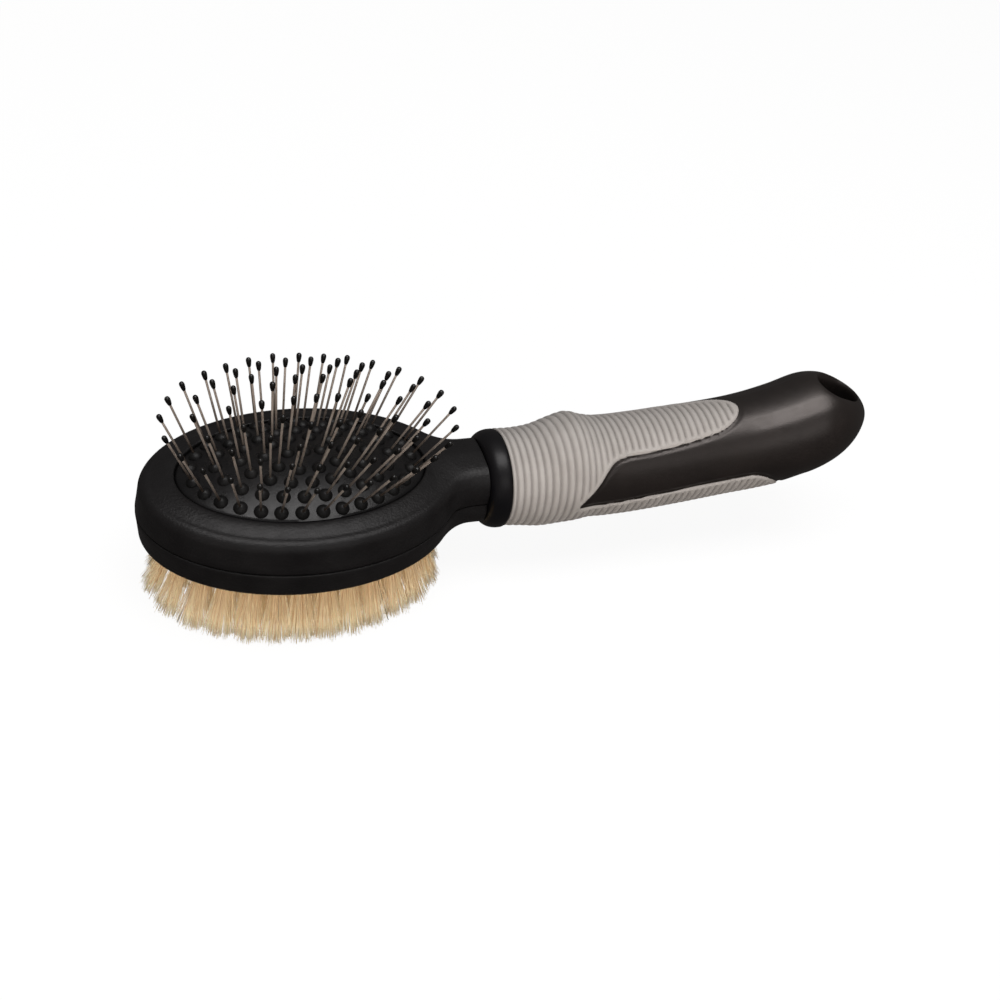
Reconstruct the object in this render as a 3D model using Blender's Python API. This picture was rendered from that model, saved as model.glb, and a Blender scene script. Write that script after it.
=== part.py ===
"""Double-sided grooming brush: ball-tipped steel pins on an air cushion on one face, bristle tufts on the
other, in a two-piece oval head on a rubber-gripped handle with a hang hole.

Origin: the middle of the trimmed bristle tips. +X runs to the handle's end, +Z towards the pins.
"""
import math

import bmesh
import bpy
from mathutils import Vector

MM = 0.001

# Driving dimensions, in millimetres
GAP = 0.3                       # room between pieces that touch
HEAD_A, HEAD_B = 45.2, 30.4     # head's half length and half width at the parting plane
PARTING_Z = 28.2                # where the two head shells meet
UPPER_H, CROWN_H = 9.6, 11.1    # upper shell's edge and crown above the parting plane
LOWER_H = 8.7                   # lower shell's depth below it
WALL_LEAN = 0.8                 # how far the walls draw in from the parting plane to their edges
UPPER_FILLET, LOWER_FILLET = 3.2, 1.8
WALL = 3.4                      # head wall thickness
PAD_A, PAD_B = 35.3, 22.0       # opening around the pin cushion
BLOCK_A, BLOCK_B = 38.6, 23.8   # opening around the bristle block
NECK_W, NECK_UP, NECK_DOWN = 11.2, 10.9, 9.8
NECK_FILLET = 12.5              # hollow curve in plan between head and neck
NECK_END = 52.1
TANG_R, TANG_END = 8.5, 84.0    # round tang inside the handle, half on each shell
TANG_PIN_X, TANG_PIN_R, PIN_HOLE_R = 71.0, 1.5, 1.85

LIP_Z = PARTING_Z + 8.6         # underside of the upper shell's lip
FLANGE_Z0, FLANGE_Z1 = LIP_Z - 2.25, LIP_Z - GAP
PLATE_Z0, PLATE_Z1 = FLANGE_Z0 - 2.75, FLANGE_Z0 - GAP
INNER_A, INNER_B = HEAD_A - WALL, HEAD_B - WALL
POST_R, SCREW_R, SCREW_HEAD_R = 2.2, 0.95, 2.0

DOME_A, DOME_B = PAD_A - 0.4, PAD_B - 0.4
DOME_RIM_Z, DOME_H = PARTING_Z + 10.6, 6.5      # cushion's rim height and the rise of its dome
DOME_T = 1.5                    # rubber thickness
PIN_LENGTH, PIN_R = 19.8, 0.4   # above the cushion
PIN_LEAN = 0.65                 # sideways run per unit of height at the cushion's rim
PIN_SET = 0.12                  # the same lean of every pin towards the handle
PIN_TIP_R, PIN_TIP_LENGTH = 0.75, 2.6
PIN_ROWS = ((0.88, 29), (0.69, 22), (0.5, 16), (0.31, 10))      # share of the dome, pins
CENTRE_PINS, CENTRE_PITCH = 3, 4.6

# Half length and half width of each row of tuft roots, tufts, and how far their tips spread outwards
TUFT_ROWS = ((34.2, 19.6, 26, 6.6), (27.4, 14.9, 20, 4.9), (20.6, 10.2, 14, 3.2), (13.8, 5.5, 9, 1.5))
CENTRE_TUFTS, CENTRE_TUFT_PITCH = 3, 6.6
TUFT_R = 1.5
TUFT_TIP_HALF, TUFT_TIP_H = 2.6, 2.2
BLOCK_FACE_Z, TUFT_ROOT_Z = PARTING_Z - LOWER_H + 0.8, PARTING_Z - 3.9
BLOCK_STEP_Z, BLOCK_TOP_Z = PARTING_Z - 6.1, PARTING_Z - 2.6

COLLAR_X0, COLLAR_X1, COLLAR_R = 52.4, 58.1, 14.5
GRIP_X0, GRIP_END = 58.4, 150.5
AXIS_Z0 = PARTING_Z + 0.3       # handle's axis at the collar, from where it rises
AXIS_SLOPE = 0.0606
GRIP_T = 2.0                    # rubber thickness over the core
HANDLE_END, ROUND_X, ROUND_POWER = 179.0, 156.0, 0.7
# Handle's form at stations along X: its middle's rise over the axis, half height and half width
HANDLE = (
    (58.4, 0.3, 14.3, 14.3),
    (64.0, -0.5, 14.5, 14.6),
    (70.0, -0.9, 15.2, 15.2),
    (76.0, 0.1, 16.0, 15.9),
    (80.5, 0.65, 16.45, 16.2),
    (85.0, 0.0, 15.5, 15.5),
    (90.0, -0.9, 15.15, 15.2),
    (100.0, -1.2, 15.1, 15.2),
    (115.0, -0.8, 15.1, 15.1),
    (131.0, -0.05, 15.05, 15.0),
    (140.0, 0.7, 15.3, 15.3),
    (149.0, 2.2, 15.7, 15.7),
    (156.0, 4.2, 15.9, 15.9),
    (163.0, 5.3, 15.9, 15.9),
    (172.0, 5.4, 15.9, 15.9),
    (180.0, 5.2, 15.9, 15.9),
)
SLANT_X, SLANT_ANGLE = 158.0, 20.0
HOLE_X, HOLE_LENGTH, HOLE_WIDTH = 166.3, 13.0, 10.6
NECK_SQUARE = 3.0               # 2 would make the neck's section an ellipse, more makes it a rounded box


def clear_scene():
    for old in list(bpy.data.objects):
        bpy.data.objects.remove(old, do_unlink=True)


def make_material(name, colour, roughness, metallic=0.0):
    material = bpy.data.materials.new(name)
    material.use_nodes = True
    shader = material.node_tree.nodes["Principled BSDF"]
    shader.inputs["Base Color"].default_value = (*colour, 1.0)
    shader.inputs["Roughness"].default_value = roughness
    shader.inputs["Metallic"].default_value = metallic
    material.diffuse_color = (*colour, 1.0)
    return material


def make_object(name, bm, origin=(0, 0, 0), parent=None):
    """An object whose mesh was modelled in millimetres about its own origin, also in millimetres."""
    bmesh.ops.recalc_face_normals(bm, faces=bm.faces)
    bmesh.ops.scale(bm, vec=(MM, MM, MM), verts=bm.verts)
    mesh = bpy.data.meshes.new(name)
    bm.to_mesh(mesh)
    bm.free()
    mesh.shade_smooth()
    mesh.set_sharp_from_angle(angle=math.radians(35))
    made = bpy.data.objects.new(name, mesh)
    bpy.context.scene.collection.objects.link(made)
    made.parent = parent
    made.location = Vector(origin) * MM
    return made


def make_empty(name):
    empty = bpy.data.objects.new(name, None)
    bpy.context.scene.collection.objects.link(empty)
    return empty


def finish(made, colour, roughness, metallic=0.0):
    made.data.materials.append(make_material(made.name, colour, roughness, metallic))


def boolean(target, cutter, operation="DIFFERENCE"):
    cutter.hide_render = True
    cutter.display_type = "WIRE"
    step = target.modifiers.new(cutter.name, "BOOLEAN")
    step.operation = operation
    step.solver = "EXACT"
    step.object = cutter


# Loops and bodies

def oval(a, b, z, count=32):
    """Points of an ellipse at height z, none of them on the X or Y axis."""
    turns = [2 * math.pi * (i + 0.5) / count for i in range(count)]
    return [Vector((a * math.cos(turn), b * math.sin(turn), z)) for turn in turns]


def circle_x(x, radius, z=0.0, count=24):
    """Points of a circle around the X axis at x."""
    turn = 2 * math.pi / count
    return [Vector((x, radius * math.cos(i * turn), z + radius * math.sin(i * turn))) for i in range(count)]


def skin(bm, loops, closed=True):
    """Quads between loops of equal length; returns the loops as vertices."""
    rows = [[bm.verts.new(point) for point in loop] for loop in loops]
    count = len(rows[0])
    for low, high in zip(rows, rows[1:]):
        for i in range(count if closed else count - 1):
            j = (i + 1) % count
            bm.faces.new((low[i], low[j], high[j], high[i]))
    return rows


def loft(loops, bm=None):
    """A closed body through loops, with flat ends."""
    bm = bm or bmesh.new()
    rows = skin(bm, loops)
    bm.faces.new(rows[0])
    bm.faces.new(rows[-1])
    return bm


def ring_body(loops):
    """A closed ring whose section runs through the loops and back to the first."""
    bm = bmesh.new()
    rows = skin(bm, loops)
    count = len(rows[0])
    for i in range(count):
        j = (i + 1) % count
        bm.faces.new((rows[-1][i], rows[-1][j], rows[0][j], rows[0][i]))
    return bm


def extrude_outline(points, vector):
    """A prism: the closed outline moved along the vector."""
    return loft([points, [point + vector for point in points]])


def spaced_on_oval(a, b, count, z=0.0):
    """Points at equal steps of arc along an ellipse, starting at its +X end, with their outward normals."""
    fine = 720
    path = [Vector((a * math.cos(t * math.tau / fine), b * math.sin(t * math.tau / fine), z))
            for t in range(fine + 1)]
    total = [0.0]
    for before, after in zip(path, path[1:]):
        total.append(total[-1] + (after - before).length)
    spots = []
    step = 0
    for i in range(count):
        while total[step + 1] < total[-1] * i / count:
            step += 1
        spot = path[step]
        normal = Vector((spot.x / a ** 2, spot.y / b ** 2, 0)).normalized()
        spots.append((spot, normal))
    return spots


# Head shells

def neck_tangent():
    """Angle on the head's ellipse where the neck's hollow curve touches it, by bisection."""
    low, high = 0.05, 1.3
    for _ in range(50):
        middle = (low + high) / 2
        spot, normal = ellipse_point(middle)
        if spot.y + NECK_FILLET * normal.y < NECK_W + NECK_FILLET:
            low = middle
        else:
            high = middle
    return (low + high) / 2


def ellipse_point(angle):
    spot = Vector((HEAD_A * math.cos(angle), HEAD_B * math.sin(angle), 0))
    normal = Vector((spot.x / HEAD_A ** 2, spot.y / HEAD_B ** 2, 0)).normalized()
    return spot, normal


def head_columns(inner_a, inner_b, arc_steps=5, oval_steps=16):
    """Columns around half the outline, from the neck's end to the nose. Each has its outline point, the
    inward direction, the inner point it runs to and how neck-like it is, from 1 to 0."""
    start = neck_tangent()
    touch, outward = ellipse_point(start)
    centre = touch + outward * NECK_FILLET
    turn = math.atan2(outward.y, outward.x)
    columns = []
    for share in (0.0, 0.5):
        x = NECK_END + (centre.x - NECK_END) * share
        columns.append((Vector((x, NECK_W, 0)), Vector((0, -1, 0)), Vector((x, 0, 0)), 1.0))
    for step in range(arc_steps):
        share = step / arc_steps
        angle = -math.pi / 2 - (math.pi / 2 - turn) * share
        inward = Vector((math.cos(angle), math.sin(angle), 0))
        target_x = centre.x + (inner_a - centre.x) * share
        columns.append((centre + inward * NECK_FILLET, inward, Vector((target_x, 0, 0)),
                        1 - share * share * (3 - 2 * share)))
    for step in range(oval_steps + 1):
        share = step / oval_steps
        spot, normal = ellipse_point(start + (math.pi - start) * share)
        inner = math.pi * share
        target = Vector((inner_a * math.cos(inner), inner_b * math.sin(inner), 0))
        columns.append((spot, -normal, target, 0.0))
    return columns


def edge_profile(height, crown, fillet, steps=3):
    """Rows from the parting plane over the edge to the inner opening: inset, height and how far the row
    has left the edge for the opening, from 0 to 1."""
    rows = [(0.0, 0.0, 0.0), (WALL_LEAN * 0.9, height - fillet, 0.0)]
    for step in range(1, steps + 1):
        angle = math.pi / 2 * step / steps
        rows.append((WALL_LEAN * 0.9 + fillet * (1 - math.cos(angle)),
                     height - fillet + fillet * math.sin(angle), 0.0))
    for share in (0.4, 0.8, 1.0):
        rise = height + (crown - height) * math.sin(share * math.pi / 2)
        rows.append((WALL_LEAN * 0.9 + fillet, rise, share))
    return rows


def shell_blank(side, height, crown, fillet, neck_height, inner_a, inner_b):
    """Solid half of the head and neck, above (side 1) or below (side -1) the parting plane."""
    rows = edge_profile(height, crown, fillet)
    half = head_columns(inner_a, inner_b)
    grid = []
    for spot, inward, target, neck in half:
        width = (target - spot).length
        column = []
        for place, (inset, rise, share) in enumerate(rows):
            angle = math.pi / 2 * place / (len(rows) - 1)
            reach = (1 - neck) * inset + neck * width * (1 - math.cos(angle))
            point = (spot + inward * reach).lerp(target, share)
            left = max(0.0, 1 - (point - spot).length / width)
            round_rise = neck_height * max(0.0, 1 - left ** NECK_SQUARE) ** (1 / NECK_SQUARE)
            z = side * ((1 - neck) * rise + neck * round_rise + GAP / 2)
            column.append(Vector((point.x, point.y, z)))
        grid.append(column)
    mirrored = [[Vector((p.x, -p.y, p.z)) for p in column] for column in reversed(grid[:-1])]
    columns = grid + mirrored
    bm = bmesh.new()
    verts = [[bm.verts.new(point) for point in column] for column in columns]
    for left, right in zip(verts, verts[1:]):
        for i in range(len(rows) - 1):
            bm.faces.new((left[i], left[i + 1], right[i + 1], right[i]))
    bm.faces.new([column[0] for column in verts])
    bm.faces.new(verts[0] + verts[-1][::-1])
    neck_columns = sum(1 for column in half if column[2].y == 0 and column[2].x > 0)
    first = neck_columns - 1
    bm.faces.new([column[-1] for column in verts[first:len(verts) - first]])
    bmesh.ops.remove_doubles(bm, verts=bm.verts, dist=0.001)
    return bm


def half_tang(side):
    """Half of the round tang that runs from inside the neck into the handle."""
    steps = 12
    section = []
    for i in range(steps + 1):
        angle = math.pi * i / steps
        section.append((TANG_R * math.cos(angle), TANG_R * math.sin(angle)))
    flat = GAP / 2 + 0.1
    loops = [[Vector((x, y, side * (z + flat))) for y, z in section] for x in (NECK_END - 4, TANG_END)]
    return loft(loops)


def screw_spots():
    """Four screw centres between the cushion's opening and the head's wall."""
    a = (PAD_A + HEAD_A - WALL) / 2
    b = (PAD_B + HEAD_B - WALL) / 2
    spots = []
    for angle in (36, 144, 216, 324):
        turn = math.radians(angle)
        spots.append(Vector((a * math.cos(turn), b * math.sin(turn), 0)))
    return spots


def posts(radius, low, high, count=10, name="posts"):
    """Round posts or holes at the four screw centres, as one cutter mesh."""
    bm = bmesh.new()
    for spot in screw_spots():
        base = oval(radius, radius, 0, count)
        loft([[spot + p + Vector((0, 0, z)) for p in base] for z in (low, high)], bm)
    return make_object(name, bm)


def tang_hole(name):
    """Upright hole for the tang pin, through half a tang or through the core."""
    middle = Vector((TANG_PIN_X, 0, 0))
    loops = [[middle + p for p in oval(PIN_HOLE_R, PIN_HOLE_R, z, 10)] for z in (0.0, 60.0)]
    return make_object(name, loft(loops))


def upper_shell(frame):
    blank = shell_blank(1, UPPER_H, CROWN_H, UPPER_FILLET, NECK_UP, PAD_A - 1, PAD_B - 1)
    made = make_object("upper_shell", blank, (0, 0, PARTING_Z), frame)
    cavity_loops = [oval(INNER_A, INNER_B, z) for z in (PARTING_Z - 5, LIP_Z)]
    cavity = make_object("upper_cavity", loft(cavity_loops))
    opening_loops = [oval(PAD_A, PAD_B, z, 42) for z in (PARTING_Z, PARTING_Z + 20)]
    opening = make_object("pad_opening", loft(opening_loops))
    boolean(made, cavity)
    boolean(made, opening)
    boolean(made, posts(POST_R, FLANGE_Z0, LIP_Z + 0.6, name="upper_posts"), "UNION")
    boolean(made, posts(SCREW_R + 0.35, PARTING_Z, LIP_Z - 0.2, 8, "pilot_holes"))
    tang = make_object("upper_tang", half_tang(1), (0, 0, PARTING_Z))
    boolean(made, tang, "UNION")
    boolean(made, tang_hole("upper_tang_hole"))
    finish(made, (0.018, 0.018, 0.02), 0.5)
    return made


def lower_shell(frame):
    blank = shell_blank(-1, LOWER_H, LOWER_H, LOWER_FILLET, NECK_DOWN, BLOCK_A - 1, BLOCK_B - 1)
    made = make_object("lower_shell", blank, (0, 0, PARTING_Z), frame)
    cavity_loops = [oval(INNER_A, INNER_B, z) for z in (BLOCK_STEP_Z - GAP, PARTING_Z + 5)]
    cavity = make_object("lower_cavity", loft(cavity_loops))
    opening_loops = [oval(BLOCK_A, BLOCK_B, z, 42) for z in (PARTING_Z - 20, PARTING_Z)]
    opening = make_object("block_opening", loft(opening_loops))
    boolean(made, cavity)
    boolean(made, opening)
    tang = make_object("lower_tang", half_tang(-1), (0, 0, PARTING_Z))
    boolean(made, tang, "UNION")
    boolean(made, tang_hole("lower_tang_hole"))
    finish(made, (0.018, 0.018, 0.02), 0.5)
    return made


def base_plate(frame):
    """Closes the air chamber and clamps the cushion's flange against the upper shell's lip."""
    loops = [oval(INNER_A - 0.5, INNER_B - 0.5, z) for z in (PLATE_Z0, PLATE_Z1)]
    made = make_object("base_plate", loft(loops), (0, 0, 0), frame)
    boolean(made, posts(SCREW_R + 0.35, PLATE_Z0 - 1, PLATE_Z1 + 1, 8, "plate_holes"))
    finish(made, (0.05, 0.05, 0.055), 0.55)


def plate_screws(frame):
    seat = PLATE_Z0 - GAP
    tip = LIP_Z - 1.0 - seat
    profile = ((SCREW_HEAD_R - 0.2, -1.2), (SCREW_HEAD_R, 0.0), (SCREW_R, 0.05), (SCREW_R, tip))
    for number, spot in enumerate(screw_spots(), 1):
        loops = [oval(radius, radius, z, 10) for radius, z in profile]
        made = make_object(f"plate_screw_{number}", loft(loops), spot + Vector((0, 0, seat)), frame)
        finish(made, (0.6, 0.6, 0.62), 0.3, 1.0)


# Pin side

def dome_z(x, y):
    """Height of the cushion's outer surface."""
    share = (x / DOME_A) ** 2 + (y / DOME_B) ** 2
    return DOME_RIM_Z + DOME_H * (1 - share)


def pin_direction(x, y):
    return Vector((PIN_LEAN * x / DOME_A + PIN_SET, PIN_LEAN * y / DOME_B, 1)).normalized()


def pin_rows():
    """Every row's pins as (base point on the dome, outward direction in plan)."""
    rows = []
    for share, count in PIN_ROWS:
        spots = spaced_on_oval(DOME_A * share, DOME_B * share, count)
        rows.append([(Vector((p.x, p.y, dome_z(p.x, p.y))), n) for p, n in spots])
    centre = []
    for i in range(CENTRE_PINS):
        x = CENTRE_PITCH * (i - (CENTRE_PINS - 1) / 2)
        centre.append((Vector((x, 0, dome_z(x, 0))), Vector((0, -1, 0))))
    rows.append(centre)
    return rows


def pin_cushion(frame):
    """Domed rubber sheet with a flange, and one clearance hole for each pin."""
    a, b = DOME_A, DOME_B
    loops = []
    for share in (0.12, 0.35, 0.55, 0.75, 0.9, 1.0):
        loops.append(oval(a * share, b * share, DOME_RIM_Z + DOME_H * (1 - share ** 2), 28))
    loops.append(oval(a, b, FLANGE_Z1, 28))
    loops.append(oval(INNER_A - 0.5, INNER_B - 0.5, FLANGE_Z1, 28))
    loops.append(oval(INNER_A - 0.5, INNER_B - 0.5, FLANGE_Z0 + 0.02, 28))
    loops.append(oval(a - DOME_T, b - DOME_T, FLANGE_Z0 + 0.02, 28))
    for share in (1.0, 0.88, 0.72, 0.5, 0.3, 0.12):
        loops.append(oval((a - DOME_T) * share, (b - DOME_T) * share,
                          DOME_RIM_Z - DOME_T + DOME_H * (1 - (0.95 * share) ** 2), 28))
    made = make_object("pin_cushion", loft(loops), (0, 0, 0), frame)
    bm = bmesh.new()
    side = PIN_R + GAP
    for row in pin_rows():
        for base, _ in row:
            lean = pin_direction(base.x, base.y)
            square = [(side, side), (-side, side), (-side, -side), (side, -side)]
            loft([[base + lean * reach + Vector((x, y, 0)) for x, y in square] for reach in (-4.0, 4.0)], bm)
    boolean(made, make_object("pin_holes", bm))
    boolean(made, posts(POST_R + 0.4, FLANGE_Z0 - 1, LIP_Z, 10, "flange_notches"))
    finish(made, (0.03, 0.03, 0.035), 0.4)


def stalk_strip(stations, strip_half, strip_height, loops_of, closed):
    """A strip of one segment per station with a stalk growing from each: one closed body. A station is the
    foot's middle on the strip's top and the plan normal; loops_of gives a stalk's loops, each as a list of
    points, and its end point, or None for a flat end."""
    bm = bmesh.new()
    count = len(stations)
    down = Vector((0, 0, -strip_height))

    def side_pair(middle, normal):
        pair = []
        for sign in (1, -1):
            top = bm.verts.new(middle + normal * strip_half * sign)
            pair.append((top, bm.verts.new(top.co + down)))
        return pair

    joints = []
    for i in range(count if closed else count + 1):
        if closed or 0 < i < count:
            (here, n1), (other, n2) = stations[i - 1], stations[i % count]
            joints.append(side_pair((here + other) / 2, (n1 + n2).normalized()))
        else:
            end, normal = stations[0 if i == 0 else -1]
            along = (stations[1][0] - stations[0][0]).normalized() * (-1 if i == 0 else 1)
            joints.append(side_pair(end + along * strip_half, normal))
    for i, (foot, normal) in enumerate(stations):
        before, after = joints[i], joints[(i + 1) % len(joints)]
        middle = side_pair(foot, normal)
        rim = [before[0], middle[0], after[0], after[1], middle[1], before[1]]
        bm.faces.new([pair[1] for pair in rim])
        for first, second in ((rim[0], rim[1]), (rim[1], rim[2]), (rim[3], rim[4]), (rim[4], rim[5])):
            bm.faces.new((first[0], second[0], second[1], first[1]))
        if not closed and i == 0:
            bm.faces.new((rim[5][0], rim[0][0], rim[0][1], rim[5][1]))
        if not closed and i == count - 1:
            bm.faces.new((rim[2][0], rim[3][0], rim[3][1], rim[2][1]))
        loops, end = loops_of(foot, normal)
        rows = [[pair[0] for pair in rim]]
        rows += [[bm.verts.new(point) for point in loop] for loop in loops]
        for low, high in zip(rows, rows[1:]):
            for j in range(6):
                k = (j + 1) % 6
                bm.faces.new((low[j], low[k], high[k], high[j]))
        if end is None:
            bm.faces.new(rows[-1])
        else:
            tip = bm.verts.new(end)
            for j in range(6):
                bm.faces.new((rows[-1][j], rows[-1][(j + 1) % 6], tip))
    return bm


def hexagon(centre, axis, outward, radius):
    """Six points around an axis, matched to a strip segment's rim."""
    along = outward.cross(axis).normalized()
    across = axis.cross(along).normalized()
    points = []
    for angle in (150, 90, 30, -30, -90, -150):
        turn = math.radians(angle)
        aside = along * math.cos(turn) * ALONG_SIGN + across * math.sin(turn)
        points.append(centre + aside * radius)
    return points


ALONG_SIGN = -1.0               # a row runs anticlockwise seen from above, so its segments do too


def pin_ring(number, row, guide):
    """One row's pins with the strip of backing liner that holds their heads under the cushion."""
    strip_half, strip_height = 0.65, 0.8
    lowest = min(base.z - DOME_T for base, _ in row)
    strip_z = lowest - 0.75

    def foot_of(base):
        lean = pin_direction(base.x, base.y)
        return base + lean * ((strip_z - base.z) / lean.z)

    stations = [(foot_of(base), normal) for base, normal in row]
    bases = {tuple(foot_of(base)): base for base, _ in row}

    def loops_of(foot, normal):
        base = bases[tuple(foot)]
        lean = pin_direction(base.x, base.y)
        top = base + lean * PIN_LENGTH
        neck = top - lean * PIN_TIP_LENGTH
        bulge = top - lean * PIN_TIP_LENGTH * 0.3
        loops = [hexagon(foot, lean, normal, PIN_R), hexagon(neck, lean, normal, PIN_R),
                 hexagon(bulge, lean, normal, PIN_TIP_R)]
        for point in loops[0]:
            point += lean * ((strip_z - point.z) / lean.z)
        return loops, top

    bm = stalk_strip(stations, strip_half, strip_height, loops_of, closed=number < 5)
    made = make_object(f"pin_ring_{number}", bm, (0, 0, 0), guide)
    finish(made, (0.55, 0.54, 0.52), 0.3, 1.0)


# Bristle side

def tuft_rows():
    rows = []
    for a, b, count, spread in TUFT_ROWS:
        rows.append([(root, normal, spread) for root, normal in spaced_on_oval(a, b, count)])
    centre = []
    for i in range(CENTRE_TUFTS):
        x = CENTRE_TUFT_PITCH * (i - (CENTRE_TUFTS - 1) / 2)
        centre.append((Vector((x, 0, 0)), Vector((0, -1, 0)), 0.0))
    rows.append(centre)
    return rows


def tuft_ring(number, row, frame):
    """One row of tufts, joined where their splayed tips meet, with their roots up in the block."""
    stations = []
    roots = {}
    for root, normal, spread in row:
        tip = root + normal * spread + Vector((0, 0, TUFT_TIP_H))
        stations.append((tip, normal))
        roots[tuple(tip)] = root

    def loops_of(foot, normal):
        root = roots[tuple(foot)]
        up = Vector((0, 0, 1))
        loops = []
        for z in (BLOCK_FACE_Z, TUFT_ROOT_Z):
            loops.append(hexagon(Vector((root.x, root.y, z)), up, normal, TUFT_R))
        return loops, None

    half = TUFT_TIP_HALF if number < 4 else TUFT_TIP_HALF - 0.4
    bm = stalk_strip(stations, half, TUFT_TIP_H, loops_of, closed=number < 5)
    made = make_object(f"tuft_ring_{number}", bm, (0, 0, 0), frame)
    finish(made, (0.72, 0.6, 0.38), 0.7)


def bristle_block(frame):
    """Stepped plate set in the lower shell's opening, with a blind hole for each tuft."""
    steps = ((BLOCK_A - 0.4, BLOCK_B - 0.4, BLOCK_FACE_Z), (BLOCK_A - 0.4, BLOCK_B - 0.4, BLOCK_STEP_Z),
             (INNER_A - 0.5, INNER_B - 0.5, BLOCK_STEP_Z), (INNER_A - 0.5, INNER_B - 0.5, BLOCK_TOP_Z))
    loops = [oval(a, b, z) for a, b, z in steps]
    made = make_object("bristle_block", loft(loops), (0, 0, 0), frame)
    bm = bmesh.new()
    side = TUFT_R + GAP
    for row in tuft_rows():
        for root, *_ in row:
            square = [(side, side), (-side, side), (-side, -side), (side, -side)]
            ends = (BLOCK_FACE_Z - 5, TUFT_ROOT_Z + GAP)
            loft([[root + Vector((x, y, z)) for x, y in square] for z in ends], bm)
    boolean(made, make_object("tuft_holes", bm))
    finish(made, (0.03, 0.03, 0.03), 0.6)


# Handle

def handle_size(x):
    """The middle's rise over the axis, half height and half width at x, on a smooth curve through the
    stations, with the sizes drawn in towards the handle's rounded end."""
    i = 0
    while i < len(HANDLE) - 2 and x > HANDLE[i + 1][0]:
        i += 1
    here, there = HANDLE[i], HANDLE[i + 1]
    before, after = HANDLE[max(i - 1, 0)], HANDLE[min(i + 2, len(HANDLE) - 1)]
    width = there[0] - here[0]
    u = (x - here[0]) / width
    sizes = []
    for k in (1, 2, 3):
        slope_in = (there[k] - before[k]) / (there[0] - before[0]) * width
        slope_out = (after[k] - here[k]) / (after[0] - here[0]) * width
        sizes.append((2 * u ** 3 - 3 * u ** 2 + 1) * here[k] + (u ** 3 - 2 * u ** 2 + u) * slope_in
                     + (3 * u ** 2 - 2 * u ** 3) * there[k] + (u ** 3 - u ** 2) * slope_out)
    share = min(1.0, max(0.0, (x - ROUND_X) / (HANDLE_END - ROUND_X)))
    shrink = (1 - share ** 2) ** ROUND_POWER
    return sizes[0], sizes[1] * shrink, sizes[2] * shrink


def axis_z(x):
    return AXIS_Z0 + max(0.0, x - COLLAR_X1) * AXIS_SLOPE


def handle_loop(x, grow=0.0, count=24):
    rise, high, side = handle_size(x)
    z = axis_z(x) + rise
    loop = []
    for i in range(count):
        turn = 2 * math.pi * i / count
        loop.append(Vector((x, (side + grow) * math.cos(turn), z + (high + grow) * math.sin(turn))))
    return loop


def handle_body(first, last, grow=0.0):
    """The handle's outer form between two stations, or out to its rounded end."""
    steps = (62, 67, 71, 75, 78, 80.5, 83, 86, 90, 98, 110, 121, 132, 141, 149, 155, 160, 164)
    loops = [handle_loop(x, grow) for x in (first, *[x for x in steps if first < x < last])]
    if last < HANDLE_END:
        loops.append(handle_loop(last, grow))
    else:
        loops += [handle_loop(HANDLE_END - back, grow) for back in (11.5, 8.0, 5.0, 2.6, 1.0, 0.15)]
    return loft(loops)


def window_outline(shrink=0.0):
    """Side view of what the rubber leaves bare, as points along X and heights above the axis: the side
    windows, and everything past both tongues' ends. shrink moves the edge inwards."""
    s = shrink
    points = [
        (79.1 + s, -1.9),
        (84.1 + s, 3.8 - s * 0.3),
        (88.0 + s, 8.1 - s),
        (90.3 + s, 9.8 - s),
        (94.4, 10.3 - s),
        (107.6, 10.7 - s),
        (119.5, 11.9 - s),
        (124.6, 12.7 - s),
        (128.3 + s, 13.6 - s),
        (131.0 + s, 14.7),
        (132.6 + s, 16.5),
        (133.0 + s, 30.0),
        (200.0, 30.0),
        (200.0, -30.0),
        (150.0 + s, -30.0),
        (149.0 + s, -12.0),
        (146.6 + s, -7.6),
        (141.4, -3.0 + s),
        (136.5, -0.8 + s),
        (129.6, -0.8 + s),
        (117.1, -1.6 + s),
        (101.4, -2.5 + s),
        (86.0, -3.1 + s),
        (80.5 + s, -3.0 + s),
    ]
    return [Vector((x, -40.0, axis_z(x) + height)) for x, height in points]


def window_cutter(name, shrink=0.0):
    return make_object(name, extrude_outline(window_outline(shrink), Vector((0, 80, 0))))


def grip_sleeve(handle):
    """Soft rubber over the core: all round at the front, then a tongue above and one below."""
    made = make_object("grip_sleeve", handle_body(GRIP_X0, GRIP_END), (0, 0, 0), handle)
    boolean(made, make_object("grip_bore", handle_body(GRIP_X0 - 2, GRIP_END + 2, -GRIP_T)))
    boolean(made, window_cutter("grip_windows"))
    finish(made, (0.5, 0.47, 0.44), 0.75)


def handle_core(handle):
    """Hard core: a recess under the rubber, a socket for the tang and the hang hole at its slanted end."""
    made = make_object("handle_core", handle_body(GRIP_X0, HANDLE_END), (0, 0, 0), handle)
    recess = make_object("grip_recess", handle_body(GRIP_X0 - 2, GRIP_END + GAP, 3.0))
    boolean(recess, make_object("recess_floor", handle_body(GRIP_X0 - 4, GRIP_END + 3, -GRIP_T - GAP)))
    boolean(recess, window_cutter("recess_windows", GAP))
    boolean(made, recess)
    radius = TANG_R + GAP + 0.1
    socket_loops = [circle_x(x, radius, PARTING_Z) for x in (GRIP_X0 - 3, TANG_END + 0.6)]
    boolean(made, make_object("tang_socket", loft(socket_loops)))
    boolean(made, tang_hole("core_tang_hole"))
    boolean(made, slant_cutter())
    boolean(made, hang_hole_cutter())
    finish(made, (0.015, 0.015, 0.017), 0.3)


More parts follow.
